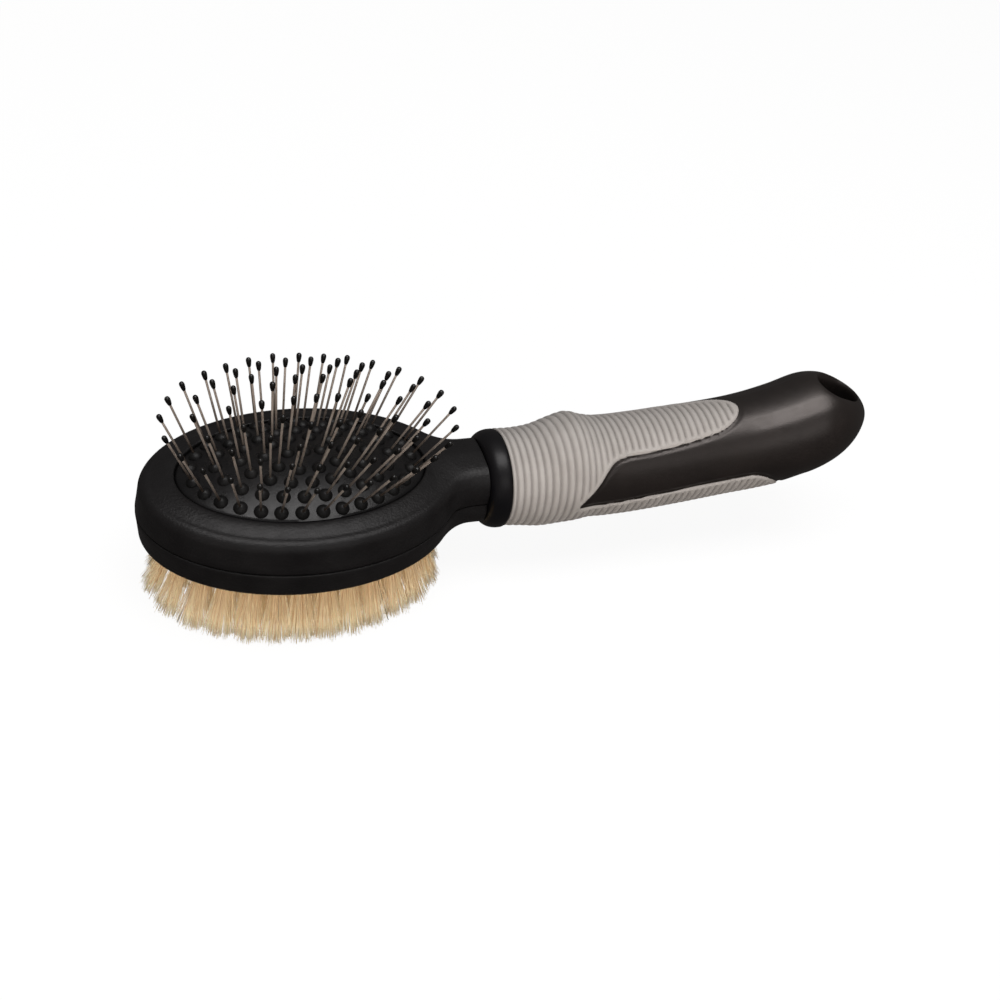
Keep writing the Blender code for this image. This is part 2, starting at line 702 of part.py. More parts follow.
def slant_cutter():
    """Takes off the top of the handle's end at a slant."""
    rise, high, _ = handle_size(SLANT_X)
    top = axis_z(SLANT_X) + rise + high
    reach = 40.0
    corners = ((0, -reach), (reach, -reach), (reach, reach), (0, reach))
    base = [Vector((x, y, 0)) for x, y in corners]
    cutter = make_object("slant", extrude_outline(base, Vector((0, 0, reach))), (SLANT_X, 0, top))
    cutter.rotation_euler = (0, math.radians(SLANT_ANGLE), 0)
    return cutter


def hang_hole_cutter():
    """Upright slot with round ends."""
    straight = (HOLE_LENGTH - HOLE_WIDTH) / 2
    outline = []
    for i in range(16):
        turn = 2 * math.pi * (i + 0.5) / 16
        shift = straight if math.cos(turn) > 0 else -straight
        outline.append(Vector((HOLE_X + shift + HOLE_WIDTH / 2 * math.cos(turn),
                               HOLE_WIDTH / 2 * math.sin(turn), 0)))
    return make_object("hang_hole", extrude_outline(outline, Vector((0, 0, 80))))


def collar(handle):
    """Ring with a rounded front edge that hides where the neck enters the handle."""
    outer = (
        (COLLAR_X0, COLLAR_R - 3.0),
        (COLLAR_X0 + 0.8, COLLAR_R - 1.7),
        (COLLAR_X0 + 2.2, COLLAR_R - 0.6),
        (COLLAR_X0 + 3.8, COLLAR_R - 0.1),
        (COLLAR_X1, COLLAR_R),
    )
    inner_r = TANG_R + GAP + 0.1
    loops = [circle_x(x, radius, AXIS_Z0) for x, radius in outer]
    loops += [circle_x(COLLAR_X1, inner_r, PARTING_Z), circle_x(COLLAR_X0, inner_r, PARTING_Z)]
    made = make_object("collar", ring_body(loops), (0, 0, 0), handle)
    finish(made, (0.01, 0.01, 0.012), 0.12)


def tang_pin(handle):
    rise, high, _ = handle_size(TANG_PIN_X)
    half = high - GRIP_T - 0.8
    loops = [oval(TANG_PIN_R, TANG_PIN_R, z, 10) for z in (-half, half)]
    made = make_object("tang_pin", loft(loops), (TANG_PIN_X, 0, axis_z(TANG_PIN_X) + rise), handle)
    finish(made, (0.6, 0.6, 0.62), 0.35, 1.0)


def build():
    clear_scene()
    frame = make_empty("head_frame")
    guide = make_empty("pin_guide")
    handle = make_empty("handle_frame")
    upper_shell(frame)
    lower_shell(frame)
    base_plate(frame)
    plate_screws(frame)
    pin_cushion(frame)
    for number, row in enumerate(pin_rows(), 1):
        pin_ring(number, row, guide)
    bristle_block(frame)
    for number, row in enumerate(tuft_rows(), 1):
        tuft_ring(number, row, frame)
    collar(handle)
    handle_core(handle)
    grip_sleeve(handle)
    tang_pin(handle)


build()
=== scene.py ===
"""Looks of a double-sided grooming brush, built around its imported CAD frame: ball-tipped pins on an air
cushion above, bristle tufts below, a matte black oval head and a rubber-gripped handle with a hang hole.

Shapes are worked out in millimetres and written to meshes in metres.
"""

import math

import bmesh
import bpy
import numpy as np
from mathutils import Matrix, Vector


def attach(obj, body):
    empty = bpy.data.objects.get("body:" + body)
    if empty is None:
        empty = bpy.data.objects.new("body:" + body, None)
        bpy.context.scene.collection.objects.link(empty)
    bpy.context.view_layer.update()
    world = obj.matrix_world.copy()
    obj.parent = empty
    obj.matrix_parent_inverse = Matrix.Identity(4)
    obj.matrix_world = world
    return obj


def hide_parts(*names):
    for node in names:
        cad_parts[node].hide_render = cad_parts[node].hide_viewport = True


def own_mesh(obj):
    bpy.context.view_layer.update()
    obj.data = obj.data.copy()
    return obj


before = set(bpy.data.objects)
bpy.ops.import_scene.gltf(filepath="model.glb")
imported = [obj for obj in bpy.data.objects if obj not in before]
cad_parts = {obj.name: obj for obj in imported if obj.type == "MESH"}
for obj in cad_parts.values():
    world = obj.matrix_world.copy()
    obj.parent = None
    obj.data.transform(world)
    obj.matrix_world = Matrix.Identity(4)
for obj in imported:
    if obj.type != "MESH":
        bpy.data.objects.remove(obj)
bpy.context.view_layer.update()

MM = 0.001
rng = np.random.default_rng(7)

# The CAD's own dimensions, in millimetres
PARTING_Z = 28.2
HEAD_A, HEAD_B = 45.2, 30.4
UPPER_H, CROWN_H, LOWER_H = 9.6, 11.1, 8.7
WALL_LEAN, UPPER_FILLET, LOWER_FILLET, WALL = 0.72, 3.2, 1.8, 3.4
PAD_A, PAD_B = 35.3, 22.0
BLOCK_A, BLOCK_B = 38.6, 23.8
NECK_W, NECK_UP, NECK_DOWN, NECK_FILLET, NECK_END, NECK_SQUARE = 11.2, 10.9, 9.8, 12.5, 52.1, 3.0
DOME_A, DOME_B, DOME_H = 34.9, 21.6, 6.5
DOME_RIM_Z = PARTING_Z + 10.6
LIP_Z = PARTING_Z + 8.6
PIN_LENGTH, PIN_LEAN, PIN_SET = 19.8, 0.65, 0.12
PIN_ROWS = ((0.88, 29), (0.69, 22), (0.5, 16), (0.31, 10))
CENTRE_PINS, CENTRE_PITCH = 3, 4.6
TUFT_ROWS = ((34.2, 19.6, 26, 6.6), (27.4, 14.9, 20, 4.9), (20.6, 10.2, 14, 3.2), (13.8, 5.5, 9, 1.5))
CENTRE_TUFTS, CENTRE_TUFT_PITCH = 3, 6.6
BLOCK_FACE_Z = PARTING_Z - LOWER_H + 0.8
COLLAR_X0, COLLAR_X1, COLLAR_R = 52.4, 58.1, 14.5
GRIP_X0, HANDLE_END, ROUND_X, ROUND_POWER = 58.4, 179.0, 156.0, 0.7
AXIS_Z0, AXIS_SLOPE = PARTING_Z + 0.3, 0.0606
# Stations along X, with the middle's rise over the handle's axis, the half height and the half width
HANDLE = np.array((
    (58.4, 0.3, 14.3, 14.3), (64.0, -0.5, 14.5, 14.6), (70.0, -0.9, 15.2, 15.2),
    (76.0, 0.1, 16.0, 15.9), (80.5, 0.65, 16.45, 16.2), (85.0, 0.0, 15.5, 15.5),
    (90.0, -0.9, 15.15, 15.2), (100.0, -1.2, 15.1, 15.2), (115.0, -0.8, 15.1, 15.1),
    (131.0, -0.05, 15.05, 15.0), (140.0, 0.7, 15.3, 15.3), (149.0, 2.2, 15.7, 15.7),
    (156.0, 4.2, 15.9, 15.9), (163.0, 5.3, 15.9, 15.9), (172.0, 5.4, 15.9, 15.9), (180.0, 5.2, 15.9, 15.9)))
SLANT_X, SLANT_ANGLE = 158.0, math.radians(20)
HOLE_X, HOLE_LENGTH, HOLE_WIDTH = 166.3, 13.0, 10.6
TANG_R = 8.5


# Mesh helpers

def new_object(name, verts, faces, material, body, slot, replaces=(), crease=35.0, sharp=True):
    """A piece from points in millimetres, riding on its body."""
    mesh = bpy.data.meshes.new(name)
    mesh.from_pydata((np.asarray(verts, float) * MM).tolist(), [], faces)
    mesh.validate()
    mesh.update()
    made = bpy.data.objects.new(name, mesh)
    bpy.context.scene.collection.objects.link(made)
    finish_mesh(made, material, crease if sharp else None)
    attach(made, body)
    if replaces:
        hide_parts(*replaces)
    return made


def finish_mesh(made, material, crease):
    made.data.materials.clear()
    made.data.materials.append(material)
    made.data.shade_smooth()
    if crease is not None:
        made.data.set_sharp_from_angle(angle=math.radians(crease))


def face_outwards(made, merge=0.0):
    bm = bmesh.new()
    bm.from_mesh(made.data)
    if merge:
        bmesh.ops.remove_doubles(bm, verts=bm.verts, dist=merge * MM)
    bmesh.ops.recalc_face_normals(bm, faces=bm.faces)
    bm.to_mesh(made.data)
    bm.free()


def apply_modifiers(made):
    graph = bpy.context.evaluated_depsgraph_get()
    mesh = bpy.data.meshes.new_from_object(made.evaluated_get(graph))
    made.modifiers.clear()
    old = made.data
    made.data = mesh
    bpy.data.meshes.remove(old)


def cut(made, verts, faces):
    """Takes a closed shape, in millimetres, out of a piece."""
    mesh = bpy.data.meshes.new("cutter")
    mesh.from_pydata((np.asarray(verts, float) * MM).tolist(), [], faces)
    cutter = bpy.data.objects.new("cutter", mesh)
    bpy.context.scene.collection.objects.link(cutter)
    face_outwards(cutter)
    step = made.modifiers.new("cut", "BOOLEAN")
    step.operation = "DIFFERENCE"
    step.solver = "EXACT"
    step.object = cutter
    apply_modifiers(made)
    bpy.data.objects.remove(cutter)


def skin_faces(rows, count, closed=True, first=0):
    """Quads between consecutive rows of points, each of the same count."""
    faces = []
    for row in range(rows - 1):
        low, high = first + row * count, first + (row + 1) * count
        for i in range(count if closed else count - 1):
            j = (i + 1) % count
            faces.append((low + i, low + j, high + j, high + i))
    return faces


def loft(loops, caps=True):
    """Points and faces of a body through loops of the same length."""
    loops = np.asarray(loops, float)
    rows, count = loops.shape[:2]
    faces = skin_faces(rows, count)
    if caps:
        faces.append(tuple(range(count))[::-1])
        faces.append(tuple(range((rows - 1) * count, rows * count)))
    return loops.reshape(-1, 3), faces


def ellipse_loop(a, b, z, count):
    turn = np.arange(count) * math.tau / count
    return np.stack([a * np.cos(turn), b * np.sin(turn), np.full(count, float(z))], 1)


def smoothstep(low, high, value):
    t = np.clip((value - low) / (high - low), 0, 1)
    return t * t * (3 - 2 * t)


# Materials

WHITE = (1.0, 1.0, 1.0)


def node_material(name):
    material = bpy.data.materials.new(name)
    material.use_nodes = True
    tree = material.node_tree
    return material, tree, tree.nodes["Principled BSDF"]


def add_node(tree, kind, **settings):
    made = tree.nodes.new(kind)
    for key, value in settings.items():
        setattr(made, key, value)
    return made


def noise(tree, scale, detail=3.0, roughness=0.55, stretch=None):
    """A noise texture in object space, its scale in features per metre."""
    place = add_node(tree, "ShaderNodeTexCoord")
    texture = add_node(tree, "ShaderNodeTexNoise")
    texture.inputs["Scale"].default_value = scale
    texture.inputs["Detail"].default_value = detail
    texture.inputs["Roughness"].default_value = roughness
    if stretch:
        mapping = add_node(tree, "ShaderNodeMapping")
        mapping.inputs["Scale"].default_value = stretch
        tree.links.new(place.outputs["Object"], mapping.inputs["Vector"])
        tree.links.new(mapping.outputs["Vector"], texture.inputs["Vector"])
    else:
        tree.links.new(place.outputs["Object"], texture.inputs["Vector"])
    return texture.outputs["Fac"]


def spread(tree, value, low, high, from_low=0.3, from_high=0.7):
    made = add_node(tree, "ShaderNodeMapRange")
    made.inputs["From Min"].default_value = from_low
    made.inputs["From Max"].default_value = from_high
    made.inputs["To Min"].default_value = low
    made.inputs["To Max"].default_value = high
    tree.links.new(value, made.inputs["Value"])
    return made.outputs["Result"]


def ramp(tree, value, stops):
    made = add_node(tree, "ShaderNodeValToRGB")
    elements = made.color_ramp.elements
    while len(elements) < len(stops):
        elements.new(0.5)
    for element, (place, colour) in zip(elements, stops):
        element.position = place
        element.color = (*colour, 1.0)
    tree.links.new(value, made.inputs["Fac"])
    return made.outputs["Color"]


def bump(tree, shader, heights):
    """Chains bumps, each (height output, strength, distance in metres)."""
    normal = None
    for height, strength, distance in heights:
        made = add_node(tree, "ShaderNodeBump")
        made.inputs["Strength"].default_value = strength
        made.inputs["Distance"].default_value = distance
        tree.links.new(height, made.inputs["Height"])
        if normal:
            tree.links.new(normal, made.inputs["Normal"])
        normal = made.outputs["Normal"]
    tree.links.new(normal, shader.inputs["Normal"])


def multiply(tree, colour, shade, share=1.0):
    """A colour darkened by a shade."""
    mix = add_node(tree, "ShaderNodeMix", data_type="RGBA", blend_type="MULTIPLY")
    mix.inputs[0].default_value = share
    tree.links.new(colour, mix.inputs[6])
    tree.links.new(shade, mix.inputs[7])
    return mix.outputs[2]


def height_share(tree, low, high):
    """0 to 1 over a stretch of height given in millimetres."""
    place = add_node(tree, "ShaderNodeTexCoord")
    split = add_node(tree, "ShaderNodeSeparateXYZ")
    tree.links.new(place.outputs["Object"], split.inputs["Vector"])
    return spread(tree, split.outputs["Z"], 0.0, 1.0, low * MM, high * MM)


def plastic(name, dark, light, rough_low, rough_high, grain_scale, grain, waviness=0.0, specular=0.5,
            tint=(1.0, 0.98, 0.98)):
    """Moulded plastic: slight tone patches, roughness patches and a fine grain."""
    material, tree, shader = node_material(name)
    patches = noise(tree, 90, 4)
    tree.links.new(ramp(tree, patches, ((0.3, dark), (0.7, light))), shader.inputs["Base Color"])
    roughness = spread(tree, noise(tree, 260, 5, 0.65), rough_low, rough_high)
    tree.links.new(roughness, shader.inputs["Roughness"])
    shader.inputs["Specular IOR Level"].default_value = specular
    shader.inputs["Specular Tint"].default_value = (*tint, 1.0)
    heights = [(noise(tree, grain_scale, 3, 0.6), grain, 0.00012)]
    if waviness:
        heights.insert(0, (noise(tree, 45, 2), waviness, 0.0004))
    bump(tree, shader, heights)
    return material


HEAD_PLASTIC = plastic("head_plastic", (0.006, 0.0055, 0.0057), (0.0105, 0.0098, 0.01), 0.34, 0.46,
                       1300, 1.0, specular=0.24)
HANDLE_PLASTIC = plastic("handle_plastic", (0.0085, 0.0068, 0.0062), (0.013, 0.0102, 0.0092), 0.3, 0.4,
                         2400, 0.3, waviness=0.1, specular=0.62, tint=(1.0, 0.9, 0.86))
COLLAR_PLASTIC = plastic("collar_plastic", (0.003, 0.003, 0.004), (0.006, 0.0055, 0.006), 0.3, 0.38,
                         2400, 0.12, specular=0.25)
INNER_PLASTIC = plastic("inner_plastic", (0.02, 0.02, 0.021), (0.03, 0.03, 0.031), 0.5, 0.6, 1800, 0.3)
CUSHION_RUBBER = plastic("cushion_rubber", (0.004, 0.0038, 0.004), (0.008, 0.0075, 0.0077), 0.24, 0.36,
                         1600, 0.3, waviness=0.12, specular=0.25)
BOSS_RUBBER = plastic("boss_rubber", (0.004, 0.004, 0.004), (0.008, 0.0075, 0.0075), 0.34, 0.5,
                      1600, 0.3, specular=0.22)
TIP_BLACK = plastic("pin_tip_black", (0.003, 0.003, 0.003), (0.006, 0.0055, 0.005), 0.18, 0.28, 3000, 0.08)


def grip_material():
    """Warm grey soft rubber: dull, slightly mottled, with painted shade darkening the grooves."""
    material, tree, shader = node_material("grip_rubber")
    mottle = noise(tree, 130, 5, 0.6)
    base = ramp(tree, mottle, ((0.3, (0.36, 0.33, 0.308)), (0.7, (0.42, 0.388, 0.365))))
    # Painted shade: ambient occlusion darkens the rubber's colour in its grooves and along its edge.
    occlusion = add_node(tree, "ShaderNodeAmbientOcclusion", samples=8)
    occlusion.inputs["Distance"].default_value = 0.0012
    tree.links.new(base, occlusion.inputs["Color"])
    shade = ramp(tree, occlusion.outputs["AO"], ((0.35, (0.72, 0.69, 0.67)), (0.85, WHITE)))
    tree.links.new(multiply(tree, occlusion.outputs["Color"], shade, 0.75), shader.inputs["Base Color"])
    tree.links.new(spread(tree, noise(tree, 400, 4), 0.55, 0.68), shader.inputs["Roughness"])
    shader.inputs["Specular IOR Level"].default_value = 0.35
    shader.inputs["Sheen Weight"].default_value = 0.15
    shader.inputs["Sheen Roughness"].default_value = 0.5
    bump(tree, shader, [(noise(tree, 2200, 4, 0.65), 0.3, 0.00005)])
    return material


def steel_material(name, foot):
    """Drawn steel wire with a warm tone and fine lines along it, darkened to foot near the cushion by painted
    shade that stands in for the dark cushion reflected in the wire.
    """
    material, tree, shader = node_material(name)
    tone = noise(tree, 900, 3, 0.5, stretch=(1, 1, 0.12))
    colour = ramp(tree, tone, ((0.3, (0.56, 0.46, 0.39)), (0.7, (0.76, 0.65, 0.56))))
    # Painted shade: the wire darkens to foot towards the cushion, standing in for the dark cushion it
    # reflects.
    shade = ramp(tree, height_share(tree, DOME_RIM_Z + 4, DOME_RIM_Z + 17), ((0.0, foot), (1.0, WHITE)))
    tree.links.new(multiply(tree, colour, shade), shader.inputs["Base Color"])
    shader.inputs["Metallic"].default_value = 0.6
    tree.links.new(spread(tree, tone, 0.24, 0.4), shader.inputs["Roughness"])
    bump(tree, shader, [(noise(tree, 3500, 2, 0.5, stretch=(1, 1, 0.08)), 0.12, 0.00002)])
    return material


def bristle_material(name, dark, light, root, glow):
    """Bristle fibres, each with its own tone, darker towards the root by painted shade and brightened by a
    painted glow in their own colour.
    """
    material, tree, shader = node_material(name)
    geometry = add_node(tree, "ShaderNodeNewGeometry")
    palest = tuple(min(1, c * 1.12) for c in light)
    tone = ramp(tree, geometry.outputs["Random Per Island"], ((0.0, dark), (0.35, light), (1.0, palest)))
    # Painted shade: the fibres darken towards the root, near the block.
    shade = ramp(tree, height_share(tree, 0.0, BLOCK_FACE_Z), ((0.15, WHITE), (1.0, root)))
    colour = multiply(tree, tone, shade)
    tree.links.new(colour, shader.inputs["Base Color"])
    tree.links.new(spread(tree, noise(tree, 700, 3), 0.38, 0.55), shader.inputs["Roughness"])
    shader.inputs["Specular IOR Level"].default_value = 0.4
    # Painted glow: the fibres give off light in their own colour, though they are no lamp.
    tree.links.new(colour, shader.inputs["Emission Color"])
    shader.inputs["Emission Strength"].default_value = glow
    bump(tree, shader, [(noise(tree, 5000, 2, 0.5, stretch=(1, 1, 0.2)), 0.1, 0.00002)])
    return material


GRIP_RUBBER = grip_material()
# The second colour is the painted shade at the wire's foot: dark on the pins, faint on the fixings.
PIN_STEEL = steel_material("pin_steel", (0.1, 0.09, 0.085))
FIXING_STEEL = steel_material("fixing_steel", (0.9, 0.9, 0.9))
# The fourth colour is the painted shade at the root and the last number the painted glow.
BRISTLE = bristle_material("bristle", (0.66, 0.43, 0.22), (1.0, 0.83, 0.57), (0.74, 0.56, 0.38), 0.1)
GUARD_HAIR = bristle_material("guard_hair", (0.02, 0.014, 0.01), (0.06, 0.04, 0.026), (0.8, 0.8, 0.8), 0.0)


# Head shells

# The groove along the parting line, half of it on each shell: (inset, rise) on the oval, inset on the neck
PARTING_GROOVE = ((0.8, 0.0), (0.34, 0.12), (0.09, 0.24), (0.0, 0.42))
NECK_GROOVE = (0.6, 0.2, 0.05)
PARTING_GAP = 0.2
NECK_COLUMNS = 8
LIP_ROUND = 0.5


def ellipse_point(angle):
    """A point of the head's oval and its outward normal."""
    spot = np.array((HEAD_A * math.cos(angle), HEAD_B * math.sin(angle)))
    normal = np.array((spot[0] / HEAD_A ** 2, spot[1] / HEAD_B ** 2))
    return spot, normal / np.linalg.norm(normal)


def neck_tangent():
    """Angle on the head's ellipse where the neck's hollow curve touches it."""
    low, high = 0.05, 1.3
    for _ in range(60):
        middle = (low + high) / 2
        spot, normal = ellipse_point(middle)
        if spot[1] + NECK_FILLET * normal[1] < NECK_W + NECK_FILLET:
            low = middle
        else:
            high = middle
    return (low + high) / 2


def head_columns(inner_a, inner_b, arc_steps=30, oval_steps=120):
    """Half outline from the neck's end to the nose, and where its oval part starts. Each column has its
    point on the outline, the inward direction, the point it runs in to and how far it belongs to the neck."""
    start = neck_tangent()
    touch, outward = ellipse_point(start)
    centre = touch + outward * NECK_FILLET
    turn = math.atan2(outward[1], outward[0])
    columns = []
    for share in np.linspace(0, 1, NECK_COLUMNS, endpoint=False):
        x = NECK_END + (centre[0] - NECK_END) * share
        columns.append((np.array((x, NECK_W)), np.array((0.0, -1.0)), np.array((x, 0.0)), 1.0))
    for step in range(arc_steps):
        share = step / arc_steps
        angle = -math.pi / 2 - (math.pi / 2 - turn) * share
        inward = np.array((math.cos(angle), math.sin(angle)))
        target = np.array((centre[0] + (inner_a - centre[0]) * share, 0.0))
        columns.append((centre + inward * NECK_FILLET, inward, target, 1 - float(smoothstep(0, 1, share))))
    for step in range(oval_steps + 1):
        share = step / oval_steps
        spot, normal = ellipse_point(start + (math.pi - start) * share)
        inner = math.pi * share
        columns.append((spot, -normal, np.array((inner_a * math.cos(inner), inner_b * math.sin(inner))), 0.0))
    return columns, NECK_COLUMNS + arc_steps


def edge_rows(height, crown, fillet):
    """Rows from the parting plane to the opening's edge: inset, rise, and how far towards the opening."""
    rows = [(inset, rise, 0.0) for inset, rise in PARTING_GROOVE]
    for share in (0.33, 0.66):
        rows.append((WALL_LEAN * share, (height - fillet) * share, 0.0))
    for step in range(11):
        angle = math.pi / 2 * step / 10
        inset = WALL_LEAN + fillet * (1 - math.cos(angle))
        rows.append((inset, height - fillet * (1 - math.sin(angle)), 0.0))
    for share in (0.08, 0.16, 0.26, 0.38, 0.5, 0.62, 0.74, 0.84, 0.92, 1.0):
        rows.append((WALL_LEAN + fillet, height + (crown - height) * math.sin(share * math.pi / 2), share))
    return rows


def shell_columns(side, rows, neck_height, inner_a, inner_b):
    """Columns of points from the parting plane to the opening, all round, and where the oval part starts."""
    half, oval_start = head_columns(inner_a, inner_b)
    grid = []
    for spot, inward, target, neck in half:
        width = np.linalg.norm(target - spot)
        column = []
        for place, (inset, rise, share) in enumerate(rows):
            angle = math.pi / 2 * place / (len(rows) - 1)
            groove = NECK_GROOVE[place] if place < len(NECK_GROOVE) else 0.0
            neck_inset = width * (1 - math.cos(angle)) + groove
            neck_rise = neck_height * (1 - math.cos(angle) ** NECK_SQUARE) ** (1 / NECK_SQUARE)
            flat = spot + inward * ((1 - neck) * inset + neck * neck_inset)
            flat = flat * (1 - share) + target * share
            z = (1 - neck) * rise + neck * neck_rise + PARTING_GAP
            column.append((flat[0], flat[1], PARTING_Z + side * z))
        grid.append(column)
    grid = np.array(grid)
    mirrored = grid[:-1][::-1] * np.array((1, -1, 1))
    return np.concatenate([grid, mirrored]), oval_start


def opening_loops(edge, side, inner_a, inner_b, lip):
    """Loops over the opening's rounded lip, out under it to the cavity's wall and back to the parting."""
    turn = np.arctan2(edge[:, 1] / inner_b, edge[:, 0] / inner_a)
    steps = []
    for angle in np.linspace(0.25, math.pi / 2, 5):
        inset, fall = LIP_ROUND * math.sin(angle), LIP_ROUND * (1 - math.cos(angle))
        steps.append((-inset, -inset, edge[:, 2] - side * fall))
    under, foot = PARTING_Z + side * lip, PARTING_Z + side * 0.15
    wall_a, wall_b = HEAD_A - WALL - inner_a, HEAD_B - WALL - inner_b
    steps += [(-LIP_ROUND, -LIP_ROUND, under), (wall_a, wall_b, under), (wall_a, wall_b, foot)]
    return [np.column_stack([(inner_a + grow_a) * np.cos(turn), (inner_b + grow_b) * np.sin(turn),
                             np.full(len(turn), z)]) for grow_a, grow_b, z in steps]


def close_shell(made):
    """Fills the neck's open end and the flat rim on the parting plane, which meet along one new edge."""
    bm = bmesh.new()
    bm.from_mesh(made.data)
    bmesh.ops.remove_doubles(bm, verts=bm.verts, dist=0.02 * MM)
    end_x = (NECK_END - 0.05) * MM
    rim = [e for e in bm.edges if e.is_boundary]
    end = [e for e in rim if all(v.co.x > end_x for v in e.verts)]
    flat = [e for e in rim if e not in end]
    corners = sorted((v for v in bm.verts if v.co.x > end_x and v.is_boundary),
                     key=lambda v: abs(v.co.z - PARTING_Z * MM))[:2]
    closing = bm.edges.new(corners)
    for edges in (end, flat):
        bmesh.ops.triangle_fill(bm, edges=edges + [closing], use_beauty=True)
    bmesh.ops.recalc_face_normals(bm, faces=bm.faces)
    bm.to_mesh(made.data)
    bm.free()


def head_shell(name, side, height, crown, fillet, neck_height, inner_a, inner_b, lip, replaces):
    """A shell with its half of the neck; side is 1 for the upper shell and -1 for the lower one."""
    rows = edge_rows(height, crown, fillet)
    columns, oval_start = shell_columns(side, rows, neck_height, inner_a, inner_b)
    total, per = columns.shape[:2]
    oval = slice(oval_start, total - oval_start - 1)
    loops = opening_loops(columns[oval, -1], side, inner_a, inner_b, lip)
    count = len(loops[0])
    rings = [list(range(per - 1, total * per, per))[oval]]
    for number in range(len(loops)):
        base = total * per + number * count
        rings.append(list(range(base, base + count)))
    faces = skin_faces(total, per, closed=False)
    for ring, new in zip(rings, rings[1:]):
        for i in range(count):
            j = (i + 1) % count
            faces.append((ring[i], ring[j], new[j], new[i]))
    verts = np.concatenate([columns.reshape(-1, 3), *loops])
    made = new_object(name, verts, faces, HEAD_PLASTIC, "brush_body", "head_plastic", replaces)
    close_shell(made)
    finish_mesh(made, HEAD_PLASTIC, 40)


# Pins and cushion

def dome_z(x, y):
    """The cushion's height at a place on it."""
    return DOME_RIM_Z + DOME_H * (1 - (x / DOME_A) ** 2 - (y / DOME_B) ** 2)


def spaced_on_oval(a, b, count):
    """Points at equal steps of arc along an ellipse from its +X end, with outward normals."""
    fine = 720
    turn = np.arange(fine + 1) * math.tau / fine
    path = np.stack([a * np.cos(turn), b * np.sin(turn)], 1)
    total = np.concatenate([[0], np.cumsum(np.linalg.norm(np.diff(path, axis=0), axis=1))])
    spots = []
    for i in range(count):
        step = max(0, int(np.searchsorted(total, total[-1] * i / count, side="left")) - 1) if i else 0
        spot = path[step]
        normal = np.array((spot[0] / a ** 2, spot[1] / b ** 2))
        spots.append((spot, normal / np.linalg.norm(normal)))
    return spots


def pin_rows():
    """Where the pins stand: four ovals, then a short row in the middle."""
    rows = []
    for share, count in PIN_ROWS:
        rows.append([spot for spot, _ in spaced_on_oval(DOME_A * share, DOME_B * share, count)])
    rows.append([np.array((CENTRE_PITCH * (i - (CENTRE_PINS - 1) / 2), 0.0)) for i in range(CENTRE_PINS)])
    return rows


def pin_direction(x, y):
    """Pins fan out from the middle, and all are set a little towards the handle."""
    way = np.array((PIN_LEAN * x / DOME_A + PIN_SET, PIN_LEAN * y / DOME_B, 1.0))
    return way / np.linalg.norm(way)


def lathe_points(base, direction, profile, count):
    """Loops around a line: the profile gives (distance along, radius)."""
    side = np.cross(direction, (0.0, 1.0, 0.0))
    side /= np.linalg.norm(side)
    other = np.cross(direction, side)
    turn = np.arange(count) * math.tau / count
    ring = np.cos(turn)[:, None] * side + np.sin(turn)[:, None] * other
    return np.array([base + direction * along + ring * radius for along, radius in profile])


def gather(parts):
    """One list of points and faces from several."""
    verts, faces, base = [], [], 0
    for points, quads in parts:
        verts.append(np.asarray(points, float).reshape(-1, 3))
        faces += [tuple(base + i for i in face) for face in quads]
        base += len(verts[-1])
    return np.concatenate(verts), faces


# Profiles along a pin as (distance, radius): the tip's from its end, the boss's from the cushion's surface
TIP_PROFILE = ((-2.75, 0.35), (-2.6, 0.48), (-2.2, 0.6), (-1.7, 0.69), (-1.2, 0.76), (-0.75, 0.77),
               (-0.4, 0.68), (-0.16, 0.48), (-0.04, 0.25), (0.0, 0.06))
BOSS_PROFILE = ((-0.8, 2.15), (0.0, 1.95), (0.28, 1.88), (0.62, 1.68), (0.95, 1.36), (1.22, 1.02),
                (1.4, 0.72), (1.5, 0.5), (1.46, 0.36), (0.6, 0.3))
WIRE_R, WIRE_ROOT, WIRE_IN_TIP = 0.33, 3.6, 2.4
LEAN_STRAY, LENGTH_STRAY, TIP_STRAY = 0.014, 0.12, 0.035


def pin(spot):
    """One pin's wire, ball tip and rubber boss, none of them quite like its neighbours'."""
    base = np.array((*spot, dome_z(*spot)))
    lean = pin_direction(*spot) + np.append(rng.normal(0, LEAN_STRAY, 2), 0.0)
    lean /= np.linalg.norm(lean)
    length = PIN_LENGTH + rng.normal(0, LENGTH_STRAY)
    size = 1 + rng.normal(0, TIP_STRAY)
    wire = ((-WIRE_ROOT, WIRE_R), (length - WIRE_IN_TIP, WIRE_R))
    tip = [(along, radius * size) for along, radius in TIP_PROFILE]
    slope = np.array((2 * DOME_H * spot[0] / DOME_A ** 2, 2 * DOME_H * spot[1] / DOME_B ** 2, 1.0))
    up = slope / np.linalg.norm(slope) + lean
    return (loft(lathe_points(base, lean, wire, 12)),
            loft(lathe_points(base + lean * length, lean, tip, 16)),
            loft(lathe_points(base, up / np.linalg.norm(up), BOSS_PROFILE, 20)))


